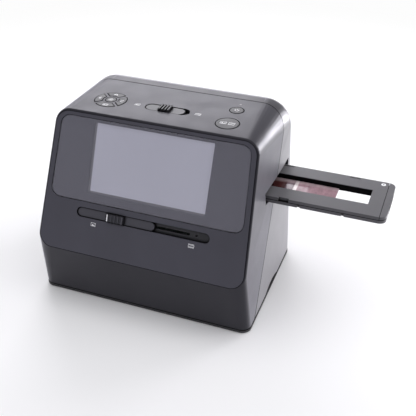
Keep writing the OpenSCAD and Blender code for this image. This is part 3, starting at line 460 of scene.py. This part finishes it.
def moulded_plastic(name, colour, roughness, grain=0.35, depth=0.012, seam=False, side_gloss=0.0,
                    window=False, rim_shade=False, line=None, **values):
    """Moulded plastic: spark-eroded grain, cloudy gloss, a little random tone variation and painted shade
    in gaps and grooves.

    The grain is a width and a depth in millimetres. side_gloss is the coat on faces that look sideways.
    The seam, line, window and outer-edge switches add painted shade at those places, besides that in gaps
    and grooves.
    """
    n = Nodes(name)
    shader = n.principled(**values)
    darker = [c * (1 - SHADE_VARIATION) for c in colour]
    lighter = [c * (1 + SHADE_VARIATION) for c in colour]
    n.vary(shader, "Base Color", n.noise(scale=14, detail=4), darker, lighter)
    gloss_clouds = n.noise(scale=60, detail=5)
    n.vary(shader, "Roughness", gloss_clouds, roughness - GLOSS_VARIATION, roughness + GLOSS_VARIATION)
    waves = n.bump(n.noise(scale=9, detail=1), depth=0.05)
    n.dent(shader, n.noise(scale=1 / (grain * MM), detail=3), depth, under=waves)
    if side_gloss:
        facing = n.axes(n.add("ShaderNodeNewGeometry").outputs["Normal"])["X"]
        sideways = n.span(n.math("ABSOLUTE", facing), *SIDEWAYS_RANGE, smooth=True)
        n.link(n.math("MULTIPLY", sideways, side_gloss), shader.inputs["Coat Weight"])
    # Painted shade: where these masks fall to 0, the surface goes over to a near-black diffuse instead of
    # the plastic.
    open_to_light = n.painted_crevice_shade()
    if seam:
        open_to_light = n.math("MULTIPLY", open_to_light, n.off_seam_shade())
    if line:
        open_to_light = n.math("MULTIPLY", open_to_light, n.off_level_shade(*line))
    if window:
        open_to_light = n.math("MULTIPLY", open_to_light, n.off_window_shade())
    if rim_shade:
        open_to_light = n.math("MULTIPLY", open_to_light, n.painted_rim_shade())
    shade = n.add("ShaderNodeBsdfDiffuse")
    shade.inputs["Color"].default_value = four_channels(CREVICE_SHADE)
    return n.surface(n.mix_shaders(open_to_light, shade.outputs[0], shader.outputs["BSDF"]))


def shell_plastic(name, colour, side_gloss, sheen_tint):
    """Satin plastic of the two shells, which lights up at grazing sight."""
    return moulded_plastic(
        name, colour, roughness=0.4, grain=0.3, depth=0.008,
        seam=True, side_gloss=side_gloss, line=BASE_LINE,
        Specular_IOR_Level=0.28, Specular_Tint=(0.9, 0.88, 1.0, 1), Coat_Roughness=0.35,
        Sheen_Weight=1.0, Sheen_Roughness=0.3, Sheen_Tint=sheen_tint,
    )


def steel(name):
    """Plain steel: drawn lines along the length and cloudy polish."""
    n = Nodes(name)
    shader = n.principled(Metallic=1.0, Anisotropic=0.3)
    lines = n.noise(scale=700, detail=3, roughness=0.6, stretch=(0.06, 1, 1))
    n.vary(shader, "Base Color", lines, (0.5, 0.5, 0.51), (0.66, 0.66, 0.67))
    n.vary(shader, "Roughness", n.noise(scale=120, detail=4), 0.22, 0.34)
    n.dent(shader, lines, depth=0.004)
    return n.surface(shader.outputs["BSDF"])


def nickel_button(name):
    """Plated magnet face: satin nickel with painted shade of a dimple in the middle."""
    n = Nodes(name)
    shader = n.principled(Metallic=0.4)
    x, y, _ = n.axes(n.place())[:3]
    across = n.math("POWER", n.away_from(x, MAGNET_X), 2)
    along = n.math("POWER", n.away_from(y, MAGNET_Y), 2)
    radius = n.math("SQRT", n.math("ADD", across, along))
    off_dimple_shade = n.span(radius, *[edge * MM for edge in MAGNET_DIMPLE_SHADE])
    tone = n.mix(off_dimple_shade, (0.08, 0.08, 0.085), (0.92, 0.92, 0.93))
    n.link(tone, shader.inputs["Base Color"])
    n.vary(shader, "Roughness", n.noise(scale=400, detail=3), 0.4, 0.5)
    n.dent(shader, n.noise(scale=2000, detail=2), depth=0.004)
    return n.surface(shader.outputs["BSDF"])


def rubber(name):
    """Dull black rubber with a fine open surface."""
    n = Nodes(name)
    shader = n.principled(Specular_IOR_Level=0.25)
    n.vary(shader, "Base Color", n.noise(scale=90, detail=5), 0.014, 0.024)
    n.vary(shader, "Roughness", n.noise(scale=200, detail=4), 0.7, 0.85)
    n.dent(shader, n.noise(scale=2500, detail=3), depth=0.03)
    return n.surface(shader.outputs["BSDF"])


def clear_sheet(name, tint, roughness):
    """Thin clear pane: tinted see-through, with a gloss on its outer faces that grows at grazing sight."""
    n = Nodes(name)
    through = n.add("ShaderNodeBsdfTransparent")
    through.inputs["Color"].default_value = four_channels(tint)
    gloss = n.add("ShaderNodeBsdfGlossy")
    gloss.inputs["Color"].default_value = four_channels(1.0)
    n.vary(gloss, "Roughness", n.noise(scale=40, detail=3), roughness * 0.8, roughness * 1.2)
    n.dent(gloss, n.noise(scale=25, detail=2), depth=0.02)
    edge = n.add("ShaderNodeFresnel")
    edge.inputs["IOR"].default_value = 1.5
    inner_face = n.add("ShaderNodeNewGeometry").outputs["Backfacing"]
    share = n.math("MULTIPLY", edge.outputs[0], n.math("SUBTRACT", 1.0, inner_face))
    return n.surface(n.mix_shaders(share, through.outputs[0], gloss.outputs[0]))


def circuit_board(name, mask, trace):
    """Solder mask with faint copper runs under it and a few bright pads."""
    n = Nodes(name)
    shader = n.principled(Specular_IOR_Level=0.5)
    runs = n.add("ShaderNodeTexBrick")
    runs.inputs["Scale"].default_value = 160
    runs.inputs["Mortar Size"].default_value = 0.03
    runs.inputs["Color1"].default_value = four_channels(0.0)
    runs.inputs["Color2"].default_value = four_channels(0.3)
    runs.inputs["Mortar"].default_value = four_channels(1.0)
    n.link(n.place(), runs.inputs["Vector"])
    cells = n.add("ShaderNodeTexVoronoi")
    cells.inputs["Scale"].default_value = 220
    n.link(n.place(), cells.inputs["Vector"])
    pads = n.ramp(cells.outputs["Distance"], 1.0, 0.0, start=0.12, end=0.16)
    colour = n.mix(runs.outputs["Color"], mask, trace)
    n.link(n.mix(pads, colour, (0.55, 0.5, 0.38)), shader.inputs["Base Color"])
    n.vary(shader, "Roughness", n.noise(scale=80, detail=3), 0.3, 0.42)
    n.dent(shader, runs.outputs["Fac"], depth=0.02)
    return n.surface(shader.outputs["BSDF"])


def milky_plastic(name):
    """White plastic of the diffuser."""
    n = Nodes(name)
    shader = n.principled(Specular_IOR_Level=0.4)
    n.vary(shader, "Base Color", n.noise(scale=30, detail=3), (0.8, 0.81, 0.8), (0.86, 0.87, 0.86))
    n.vary(shader, "Roughness", n.noise(scale=90, detail=4), 0.4, 0.55)
    n.dent(shader, n.noise(scale=1800, detail=2), depth=0.01)
    return n.surface(shader.outputs["BSDF"])


def display_face(name):
    """Unlit screen: pale polariser with a darker border at the left and the bottom."""
    border_left = 2.0
    border_low = 1.7
    border_fade = 0.6
    border_tone = (0.105, 0.104, 0.12)
    low_tone = (0.46, 0.46, 0.54)
    high_tone = (0.455, 0.455, 0.535)
    n = Nodes(name)
    shader = n.principled(Specular_IOR_Level=0.5)
    across, up, _ = n.axes(n.panel_place())[:3]
    left = -SCREEN_W / 2 + border_left
    low = SCREEN_S - SCREEN_H / 2
    off_left = n.span(across, left * MM, (left + border_fade) * MM)
    off_low = n.span(up, (low + border_low) * MM, (low + border_low + border_fade) * MM)
    active = n.math("MULTIPLY", off_left, off_low)
    pale = n.mix(n.span(up, low * MM, (low + SCREEN_H) * MM), low_tone, high_tone)
    clouds = n.ramp(n.noise(scale=20, detail=3), 0.97, 1.03)
    pale = n.mix(1.0, pale, clouds, "MULTIPLY")
    n.link(n.mix(active, border_tone, pale), shader.inputs["Base Color"])
    n.vary(shader, "Roughness", n.noise(scale=60, detail=4), 0.3, 0.38)
    n.dent(shader, n.noise(scale=30, detail=2), depth=0.03)
    return n.surface(shader.outputs["BSDF"])


def film_tones():
    """Colour stops along the film: generic tones frame by frame, clear gaps between the frames.

    A lighter patch stands just before the last gap; the dark tone before it is painted shade from the case.
    """
    last = len(FRAME_TONES) - 1
    tone = FRAME_TONES[0]
    places = [(FILM_END_X - FILM_LEN, tone)]
    for i in range(1, last + 1):
        gap = FRAME_GAP_X - (last - i) * FRAME_PITCH
        gap_start = gap - FRAME_GAP / 2
        gap_end = gap + FRAME_GAP / 2
        if i == last:
            places.append((gap_start - PATCH_LEN - 2 * FRAME_EDGE, tone))
            tone = PATCH_TONE
            places.append((gap_start - PATCH_LEN, tone))
        places.append((gap_start - FRAME_EDGE, tone))
        places.append((gap_start, FILM_CLEAR))
        places.append((gap_end, FILM_CLEAR))
        tone = FRAME_TONES[i]
        places.append((gap_end + FRAME_EDGE, tone))
    return [((x - FILM_END_X + FILM_LEN) / FILM_LEN, colour) for x, colour in places]


def film_material(name):
    """Developed film: generic tones, amber margins, smooth shine, partly see-through."""
    n = Nodes(name)
    across, along_y, _ = n.axes(n.place())[:3]
    down_the_film = n.span(across, (FILM_END_X - FILM_LEN) * MM, FILM_END_X * MM)
    tone = n.stops(down_the_film, film_tones())
    far_side = n.span(along_y, *[(FILM_Y + edge) * MM for edge in FAR_FADE], smooth=True)
    tone = n.mix(n.math("MULTIPLY", far_side, FAR_SHARE), tone, FAR_TONE)
    clouds = n.noise(scale=260, detail=6, roughness=0.7, stretch=(1, 0.5, 1))
    picture = n.mix(1.0, tone, n.ramp(clouds, 0.76, 1.2, start=0.32, end=0.68), "MULTIPLY")
    margin = n.span(n.away_from(along_y, FILM_Y), FRAME_H / 2 * MM, (FRAME_H / 2 + 2 * FRAME_EDGE) * MM)
    shader = n.principled(Specular_IOR_Level=0.6)
    n.link(n.mix(margin, picture, (0.3, 0.15, 0.1)), shader.inputs["Base Color"])
    n.vary(shader, "Roughness", n.noise(scale=50, detail=3), 0.08, 0.16)
    n.dent(shader, n.noise(scale=70, detail=2, stretch=(1, 0.3, 1)), depth=0.25)
    through = n.add("ShaderNodeBsdfTransparent")
    n.link(n.mix(margin, picture, (0.5, 0.3, 0.22)), through.inputs["Color"])
    solid = n.ramp(n.noise(scale=30, detail=2), 0.62, 0.72)
    return n.surface(n.mix_shaders(solid, through.outputs[0], shader.outputs["BSDF"]))


def printed_ink(name, colour, roughness=0.5):
    """Screen-printed ink: slightly uneven cover and a fine mesh texture."""
    n = Nodes(name)
    shader = n.principled(Specular_IOR_Level=0.4)
    lighter = [min(1.0, c * 1.06) for c in colour]
    darker = [c * 0.9 for c in colour]
    n.vary(shader, "Base Color", n.noise(scale=300, detail=4), darker, lighter)
    n.vary(shader, "Roughness", n.noise(scale=120, detail=3), roughness - 0.06, roughness + 0.06)
    n.dent(shader, n.noise(scale=3000, detail=2), depth=0.0012)
    return n.surface(shader.outputs["BSDF"])


def make_stage():
    """Pale seamless floor, plain white to the camera and to mirrors far from the object."""
    n = Nodes("stage_white")
    shader = n.principled(Specular_IOR_Level=0.15)
    n.vary(shader, "Base Color", n.noise(scale=3, detail=2), (0.92, 0.92, 0.925), (0.94, 0.94, 0.945))
    n.vary(shader, "Roughness", n.noise(scale=8, detail=2), 0.45, 0.55)
    white = n.add("ShaderNodeEmission")
    white.inputs["Color"].default_value = four_channels(1)
    white.inputs["Strength"].default_value = FLOOR_WHITE
    far = n.add("ShaderNodeVectorMath", operation="LENGTH")
    n.link(n.place(), far.inputs[0])
    distance = n.span(far.outputs["Value"], *FLOOR_FADE, smooth=True)
    path = n.add("ShaderNodeLightPath").outputs
    seen = n.math("MAXIMUM", path["Is Camera Ray"], path["Is Glossy Ray"])
    seen = n.math("MAXIMUM", seen, path["Is Transmission Ray"])
    n.surface(n.mix_shaders(n.math("MULTIPLY", distance, seen), shader.outputs["BSDF"], white.outputs[0]))
    bpy.ops.mesh.primitive_plane_add(size=FLOOR_SIZE, location=(0, 0, 0))
    floor = bpy.context.object
    floor.name = "stage_floor"
    floor.data.materials.append(n.material)


def make_world():
    """Dome that is dim at the horizon and bright above, and white to the camera."""
    world = bpy.data.worlds.new("studio")
    bpy.context.scene.world = world
    world.use_nodes = True
    tree = world.node_tree
    tree.nodes.clear()
    add = tree.nodes.new
    link = tree.links.new
    output = add("ShaderNodeOutputWorld")
    background = add("ShaderNodeBackground")
    background.inputs["Color"].default_value = four_channels(1)
    split = add("ShaderNodeSeparateXYZ")
    link(add("ShaderNodeTexCoord").outputs["Generated"], split.inputs[0])
    dome = add("ShaderNodeMapRange")
    dome.interpolation_type = "SMOOTHSTEP"
    for socket, value in DOME.items():
        dome.inputs[socket].default_value = value
    link(split.outputs["Z"], dome.inputs["Value"])
    strength = add("ShaderNodeMapRange")
    strength.inputs["To Max"].default_value = 1.0
    link(add("ShaderNodeLightPath").outputs["Is Camera Ray"], strength.inputs["Value"])
    link(dome.outputs["Result"], strength.inputs["To Min"])
    link(strength.outputs["Result"], background.inputs["Strength"])
    link(background.outputs["Background"], output.inputs["Surface"])


def make_lights():
    """Soft area lamps, each turned to its target."""
    for name, place, target, size, power, tint in LAMPS:
        data = bpy.data.lights.new(name, "AREA")
        data.shape = "RECTANGLE"
        data.size, data.size_y = size
        data.energy = power
        data.color = tint
        lamp = bpy.data.objects.new(name, data)
        lamp.location = place
        direction = Vector(target) - Vector(place)
        lamp.rotation_euler = direction.to_track_quat("-Z", "Y").to_euler()
        bpy.context.scene.collection.objects.link(lamp)


def smooth_group():
    """Geometry nodes that shade smooth, with edges sharper than an angle kept sharp."""
    group = bpy.data.node_groups.new("shade_by_angle", "GeometryNodeTree")
    group.interface.new_socket("Geometry", in_out="INPUT", socket_type="NodeSocketGeometry")
    group.interface.new_socket("Geometry", in_out="OUTPUT", socket_type="NodeSocketGeometry")
    add = group.nodes.new
    link = group.links.new
    start = add("NodeGroupInput")
    end = add("NodeGroupOutput")
    faces = add("GeometryNodeSetShadeSmooth")
    faces.domain = "FACE"
    edges = add("GeometryNodeSetShadeSmooth")
    edges.domain = "EDGE"
    angle = add("GeometryNodeInputMeshEdgeAngle")
    limit = add("FunctionNodeCompare")
    limit.operation = "LESS_THAN"
    limit.inputs["B"].default_value = math.radians(SMOOTH_ANGLE)
    link(angle.outputs["Unsigned Angle"], limit.inputs["A"])
    link(start.outputs[0], faces.inputs["Geometry"])
    link(faces.outputs["Geometry"], edges.inputs["Geometry"])
    link(limit.outputs["Result"], edges.inputs["Shade Smooth"])
    link(edges.outputs["Geometry"], end.inputs[0])
    return group


def finish_edges(piece, width, smooth):
    """Rounds a piece's sharp edges by modifiers and shades it smooth."""
    weld = piece.modifiers.new("weld", "WELD")
    weld.merge_threshold = WELD_DISTANCE * MM
    if width:
        bevel = piece.modifiers.new("round_edges", "BEVEL")
        bevel.width = width * MM
        bevel.segments = EDGE_SEGMENTS
        bevel.limit_method = "ANGLE"
        bevel.angle_limit = math.radians(EDGE_ANGLE)
        bevel.use_clamp_overlap = True
    shade = piece.modifiers.new("shade", "NODES")
    shade.node_group = smooth
    normals = piece.modifiers.new("normals", "WEIGHTED_NORMAL")
    normals.keep_sharp = True


class Shape:
    """Thin solids built from flat outlines, in millimetres, in their own plane."""

    def __init__(self):
        self.mesh = bmesh.new()

    def prism(self, outline, low=INK_LOW, high=INK_HIGH):
        """Solid over a closed outline."""
        bottom = [self.mesh.verts.new((u, v, low)) for u, v in outline]
        top = [self.mesh.verts.new((u, v, high)) for u, v in outline]
        self.mesh.faces.new(top)
        self.mesh.faces.new(bottom[::-1])
        self.wall(bottom, top)
        return self

    def wall(self, bottom, top):
        """Faces between two loops of points."""
        count = len(bottom)
        for i in range(count):
            j = (i + 1) % count
            self.mesh.faces.new((bottom[i], bottom[j], top[j], top[i]))

    def ring(self, outer, inner, low=INK_LOW, high=INK_HIGH):
        """Closed band between two outlines with the same number of points."""
        levels = ((outer, low), (outer, high), (inner, high), (inner, low))
        loops = [[self.mesh.verts.new((u, v, z)) for u, v in line] for line, z in levels]
        for a, b in zip(loops, loops[1:] + loops[:1]):
            self.wall(a, b)
        return self

    def bar(self, a, b, width):
        """Straight stroke from a to b."""
        a = Vector(a)
        b = Vector(b)
        along = (b - a).normalized()
        side = Vector((-along.y, along.x)) * width / 2
        return self.prism([tuple(a - side), tuple(b - side), tuple(b + side), tuple(a + side)])

    def arc(self, radius, width, start, end, steps=28):
        """Stroke along part of a circle, angles in degrees."""
        turns = [math.radians(start + (end - start) * i / steps) for i in range(steps + 1)]
        far = radius + width / 2
        near = radius - width / 2
        outer = [(far * math.cos(t), far * math.sin(t)) for t in turns]
        inner = [(near * math.cos(t), near * math.sin(t)) for t in turns]
        return self.prism(outer + inner[::-1])

    def moved(self, u, v, turn=0.0, scale=1.0):
        """Moves all that is drawn so far."""
        matrix = Matrix.Translation((u, v, 0)) @ Matrix.Rotation(math.radians(turn), 4, "Z")
        matrix = matrix @ Matrix.Diagonal((scale, scale, 1, 1))
        self.mesh.transform(matrix)
        return self

    def join(self, other):
        """Takes over what another shape has drawn."""
        data = bpy.data.meshes.new("part")
        other.mesh.to_mesh(data)
        self.mesh.from_mesh(data)
        bpy.data.meshes.remove(data)
        other.mesh.free()
        return self

    def place(self, name, matrix, material, body, slot):
        """The finished piece, in metres, riding on a body."""
        bmesh.ops.recalc_face_normals(self.mesh, faces=self.mesh.faces)
        self.mesh.transform(Matrix.Scale(MM, 4) @ matrix)
        data = bpy.data.meshes.new(name)
        self.mesh.to_mesh(data)
        self.mesh.free()
        data.materials.append(material)
        piece = bpy.data.objects.new(name, data)
        bpy.context.scene.collection.objects.link(piece)
        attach(piece, body)


def rectangle(w, h, u=0.0, v=0.0):
    """Corners of a rectangle about a middle."""
    left = u - w / 2
    right = u + w / 2
    low = v - h / 2
    high = v + h / 2
    return [(left, low), (right, low), (right, high), (left, high)]


def circle(radius, steps=40, u=0.0, v=0.0):
    """Points of a circle about a middle."""
    turns = [2 * math.pi * i / steps for i in range(steps)]
    return [(u + radius * math.cos(t), v + radius * math.sin(t)) for t in turns]


def rounded(points, radius, steps=10):
    """Outline with every corner rounded to one radius."""
    line = []
    count = len(points)
    for i, p in enumerate(points):
        p = Vector(p)
        u = (Vector(points[i - 1]) - p).normalized()
        v = (Vector(points[(i + 1) % count]) - p).normalized()
        opening = u.angle(v) / 2
        centre = p + (u + v).normalized() * radius / math.sin(opening)
        first = p + u * radius / math.tan(opening) - centre
        last = p + v * radius / math.tan(opening) - centre
        start = math.atan2(first.y, first.x)
        turn = (math.atan2(last.y, last.x) - start + 3 * math.pi) % (2 * math.pi) - math.pi
        for k in range(steps + 1):
            angle = start + turn * k / steps
            line.append((centre.x + radius * math.cos(angle), centre.y + radius * math.sin(angle)))
    return line


def flip_icon():
    """Two triangles that mirror each other across a line."""
    near = 0.55
    far = 2.3
    half = 1.15
    icon = Shape()
    icon.prism([(-near, -half), (-near, half), (-far, -half)])
    icon.prism([(near, -half), (far, -half), (near, half)])
    return icon.bar((0, -1.5), (0, 1.5), width=0.28)


def turn_icon():
    """Arrow round most of a circle."""
    icon = Shape().arc(1.35, STROKE, start=60, end=330)
    return icon.prism([(0.35, 2.0), (0.35, 0.45), (1.65, 1.2)])


def picture_icon(w=4.6, h=3.2, line=0.38):
    """Picture in a frame: two hills and a sun, at shares of the frame's width and height."""
    icon = Shape().ring(rectangle(w, h), rectangle(w - 2 * line, h - 2 * line))
    foot = -h / 2 + line * 1.5
    icon.prism([(-w * 0.36, foot), (w * 0.1, foot), (-w * 0.13, h * 0.17)])
    icon.prism([(w * 0.02, foot), (w * 0.36, foot), (w * 0.2, h * 0.02)], INK_LOW, INK_HIGH + 0.005)
    return icon.prism(circle(h * 0.09, steps=14, u=w * 0.22, v=h * 0.22))


def film_icon(w=5.2, h=3.6, line=0.34, holes=5):
    """Piece of film: picture field between two rows of perforations, at shares of its height."""
    icon = Shape().ring(rectangle(w, h * 0.5), rectangle(w - 2 * line, h * 0.5 - 2 * line))
    for side in (-1, 1):
        edge = side * (h / 2 - line / 2)
        icon.bar((-w / 2, edge), (w / 2, edge), line)
        for i in range(holes):
            u = (i + 0.5) * w / holes - w / 2
            icon.prism(rectangle(w / holes * 0.5, h * 0.11, u, side * h * 0.34))
    return icon


def power_icon():
    """Broken ring with a stroke in its gap."""
    icon = Shape().arc(1.75, STROKE, start=125, end=415)
    return icon.bar((0, 0.25), (0, 2.25), STROKE)


def ring_icon():
    """Ring with a dot in it."""
    icon = Shape().ring(circle(2.0), circle(1.6))
    return icon.prism(circle(0.65, steps=24))


def scan_icon():
    """Picture and film side by side."""
    apart = 3.7
    film = film_icon(5.6, 4.2).moved(apart, 0)
    return picture_icon(5.4, 4.0).moved(-apart, 0).join(film)


def add_key_icons(ink):
    """Generic icons in white ink, each riding on its key."""
    keys = [
        ("icon_up", flip_icon(), (PAD_X, PAD_Y + PAD_MID), "up_key"),
        ("icon_left", flip_icon().moved(0, 0, turn=90, scale=0.9), (PAD_X - PAD_MID, PAD_Y), "left_key"),
        ("icon_right", turn_icon(), (PAD_X + PAD_MID, PAD_Y), "right_key"),
        ("icon_down", picture_icon(), (PAD_X, PAD_Y - PAD_MID), "down_key"),
        ("icon_middle", ring_icon(), (PAD_X, PAD_Y), "middle_key"),
        ("icon_power", power_icon(), (POWER_X, POWER_Y), "power_key"),
        ("icon_scan", scan_icon(), (SCAN_X, SCAN_Y), "scan_key"),
    ]
    for name, icon, (x, y), body in keys:
        icon.place(name, on_top(x, y, BUTTON_TOP), ink, body, "button")


def add_switch_icons(ink):
    """Print and film icons beside the slide switch and under the slot, riding on the housing."""
    printed = [
        ("icon_switch_print", picture_icon(4.8, 3.4, 0.32), on_top(-SWITCH_ICON_X, SWITCH_Y), "shell"),
        ("icon_switch_film", film_icon(5.4, 3.5, 0.3), on_top(SWITCH_ICON_X, SWITCH_Y), "shell"),
        ("icon_slot_print", picture_icon(4.6, 3.2, 0.32), on_panel(*SLOT_PRINT_ICON), "panel"),
        ("icon_slot_film", film_icon(5.4, 3.3, 0.3), on_panel(*SLOT_FILM_ICON), "panel"),
    ]
    for name, icon, matrix, slot in printed:
        icon.place(name, matrix, ink, "housing", slot)


def add_slider_pointer(ink):
    """White mark on the slider's grip."""
    width = 1.0
    length = 6.2
    radius = 0.4
    inset = 1.15
    mark = Shape().prism(rounded(rectangle(width, length), radius, steps=5))
    place = on_panel(SLIDER_X - GRIP_L / 2 + inset, SLOT_S, GRIP_OUT)
    mark.place("slider_pointer", place, ink, "selector", "slider")


def window_outline(inset):
    """Outline of the window's pocket in the panel, moved inwards."""
    high = PANEL_LEN - WINDOW_TOP - inset
    low = PANEL_LEN - WINDOW_TOP - WINDOW_H + inset
    half_low = half_width(panel_height(low)) - WINDOW_BORDER - inset
    half_high = half_width(panel_height(high)) - WINDOW_BORDER - inset
    corners = [(-half_low, low), (half_low, low), (half_high, high), (-half_high, high)]
    return rounded(corners, WINDOW_R - inset)


def add_window_print(ink):
    """Border printed on the back of the window, open over the screen."""
    inset = 0.15
    lift = 0.02
    thickness = 0.03
    outer = window_outline(PANEL_GAP + inset)
    opening = rounded(rectangle(SCREEN_W, SCREEN_H, 0, SCREEN_S), radius=0.3)
    low = -WINDOW_T + lift
    border = Shape().ring(outer, opening, low, low + thickness)
    border.place("window_print", on_panel(0, 0), ink, "housing", "window")


def contact_row(count, pitch):
    """Places of a row of contacts about the middle."""
    return [(i - (count - 1) / 2) * pitch for i in range(count)]


def add_contacts(tongue, contact):
    """Contact tongue and pins of the data port, and the contact row of the card socket."""
    facing = Matrix.Rotation(math.radians(90), 4, "X")
    in_port = Matrix.Translation((PORT_X, PORT_MOUTH_Y - PORT_INSET, PORT_Z)) @ facing
    in_card = Matrix.Translation((CARD_X, CARD_MOUTH_Y, CARD_Z)) @ facing

    blade = Shape().prism(rounded(rectangle(w=6.6, h=0.8), radius=0.3, steps=4), low=0.2, high=4.6)
    blade.place("port_tongue", in_port, tongue, "housing", "dark_plastic")

    pins = Shape()
    for u in contact_row(count=11, pitch=0.5):
        for v in (-PIN_OUT, PIN_OUT):
            pins.prism(rectangle(w=0.26, h=0.06, u=u, v=v), low=0.7, high=4.4)
    pins.place("port_contacts", in_port, contact, "housing", "steel")

    springs = Shape()
    for u in contact_row(count=9, pitch=2.5):
        springs.prism(rectangle(w=1.1, h=0.3, u=u, v=-SPRING_DOWN), low=1.0, high=3.8)
    springs.place("card_contacts", in_card, contact, "housing", "steel")


def make_materials():
    """Finish for each material slot of the record."""
    fine = {"grain": 0.3, "depth": 0.008}
    rough = {"grain": 0.3, "depth": 0.01}
    return {
        "shell": shell_plastic("shell_plastic", (0.014, 0.0135, 0.0175), 0.35, (0.9, 0.885, 1.0, 1)),
        "base": moulded_plastic("base_plastic", (0.024, 0.0235, 0.027), 0.45, line=BASE_LINE, **rough),
        "rubber": rubber("foot_rubber"),
        "steel": steel("plain_steel"),
        "clear_glass": clear_sheet("clear_glass", (0.93, 0.96, 0.95), 0.03),
        "panel": moulded_plastic("panel_plastic", (0.0355, 0.0345, 0.0485), 0.46, **fine),
        "window": clear_sheet("window_pane", (0.95, 0.95, 0.95), 0.12),
        "display": display_face("display_face"),
        "dark_plastic": moulded_plastic("dark_plastic", (0.016, 0.016, 0.018), 0.5, Specular_IOR_Level=0.4),
        "slider": moulded_plastic("slider_plastic", (0.03, 0.029, 0.038), 0.42, rim_shade=True, **fine),
        "diffuser": milky_plastic("milky_plastic"),
        "white_board": circuit_board("board_white", (0.72, 0.73, 0.69), (0.66, 0.67, 0.62)),
        "barrel": moulded_plastic("barrel_black", (0.012, 0.012, 0.012), 0.42, grain=0.25, depth=0.01),
        "circuit_board": circuit_board("board_green", (0.02, 0.11, 0.045), (0.035, 0.17, 0.07)),
        "light_pipe": moulded_plastic("light_pipe", (0.05, 0.052, 0.056), 0.15, grain=0.5, depth=0.002),
        "button": moulded_plastic(
            "button_plastic", (0.024, 0.0235, 0.0285), 0.42, rim_shade=True, Specular_IOR_Level=0.38, **fine
        ),
        "holder": moulded_plastic(
            "holder_plastic", (0.054, 0.052, 0.062), 0.44, window=True, line=HOLDER_LINE,
            Sheen_Weight=0.9, Sheen_Roughness=0.4, **rough
        ),
        "film": film_material("developed_film"),
    }


def dress_nodes(materials):
    """Gives every CAD node its finish and rounded edges."""
    own_material = {
        # The rear shell gets the shell plastic with a lighter base colour and sheen tint, painted light for
        # the brighter look of its side, and with more coat on sideways faces
        "rear_shell": shell_plastic("rear_plastic_painted_lighter", (0.016, 0.0155, 0.019), 0.9, (0.95, 0.93, 1.0, 1)),
        "lid_magnet": nickel_button("magnet_nickel"),
    }
    smooth = smooth_group()
    for name, piece in nodes.items():
        piece.data.materials.clear()
        piece.data.materials.append(own_material.get(name, materials[slot_of[name]]))
        finish_edges(piece, EDGES.get(name, SMALL_EDGE), smooth)


make_camera()
make_stage()
make_world()
make_lights()

materials = make_materials()
dress_nodes(materials)

white_ink = printed_ink("white_ink", (0.74, 0.74, 0.76))
add_key_icons(white_ink)
add_switch_icons(white_ink)
add_slider_pointer(white_ink)
add_window_print(printed_ink("border_ink", (0.034, 0.032, 0.046), roughness=0.4))
add_contacts(materials["dark_plastic"], materials["steel"])
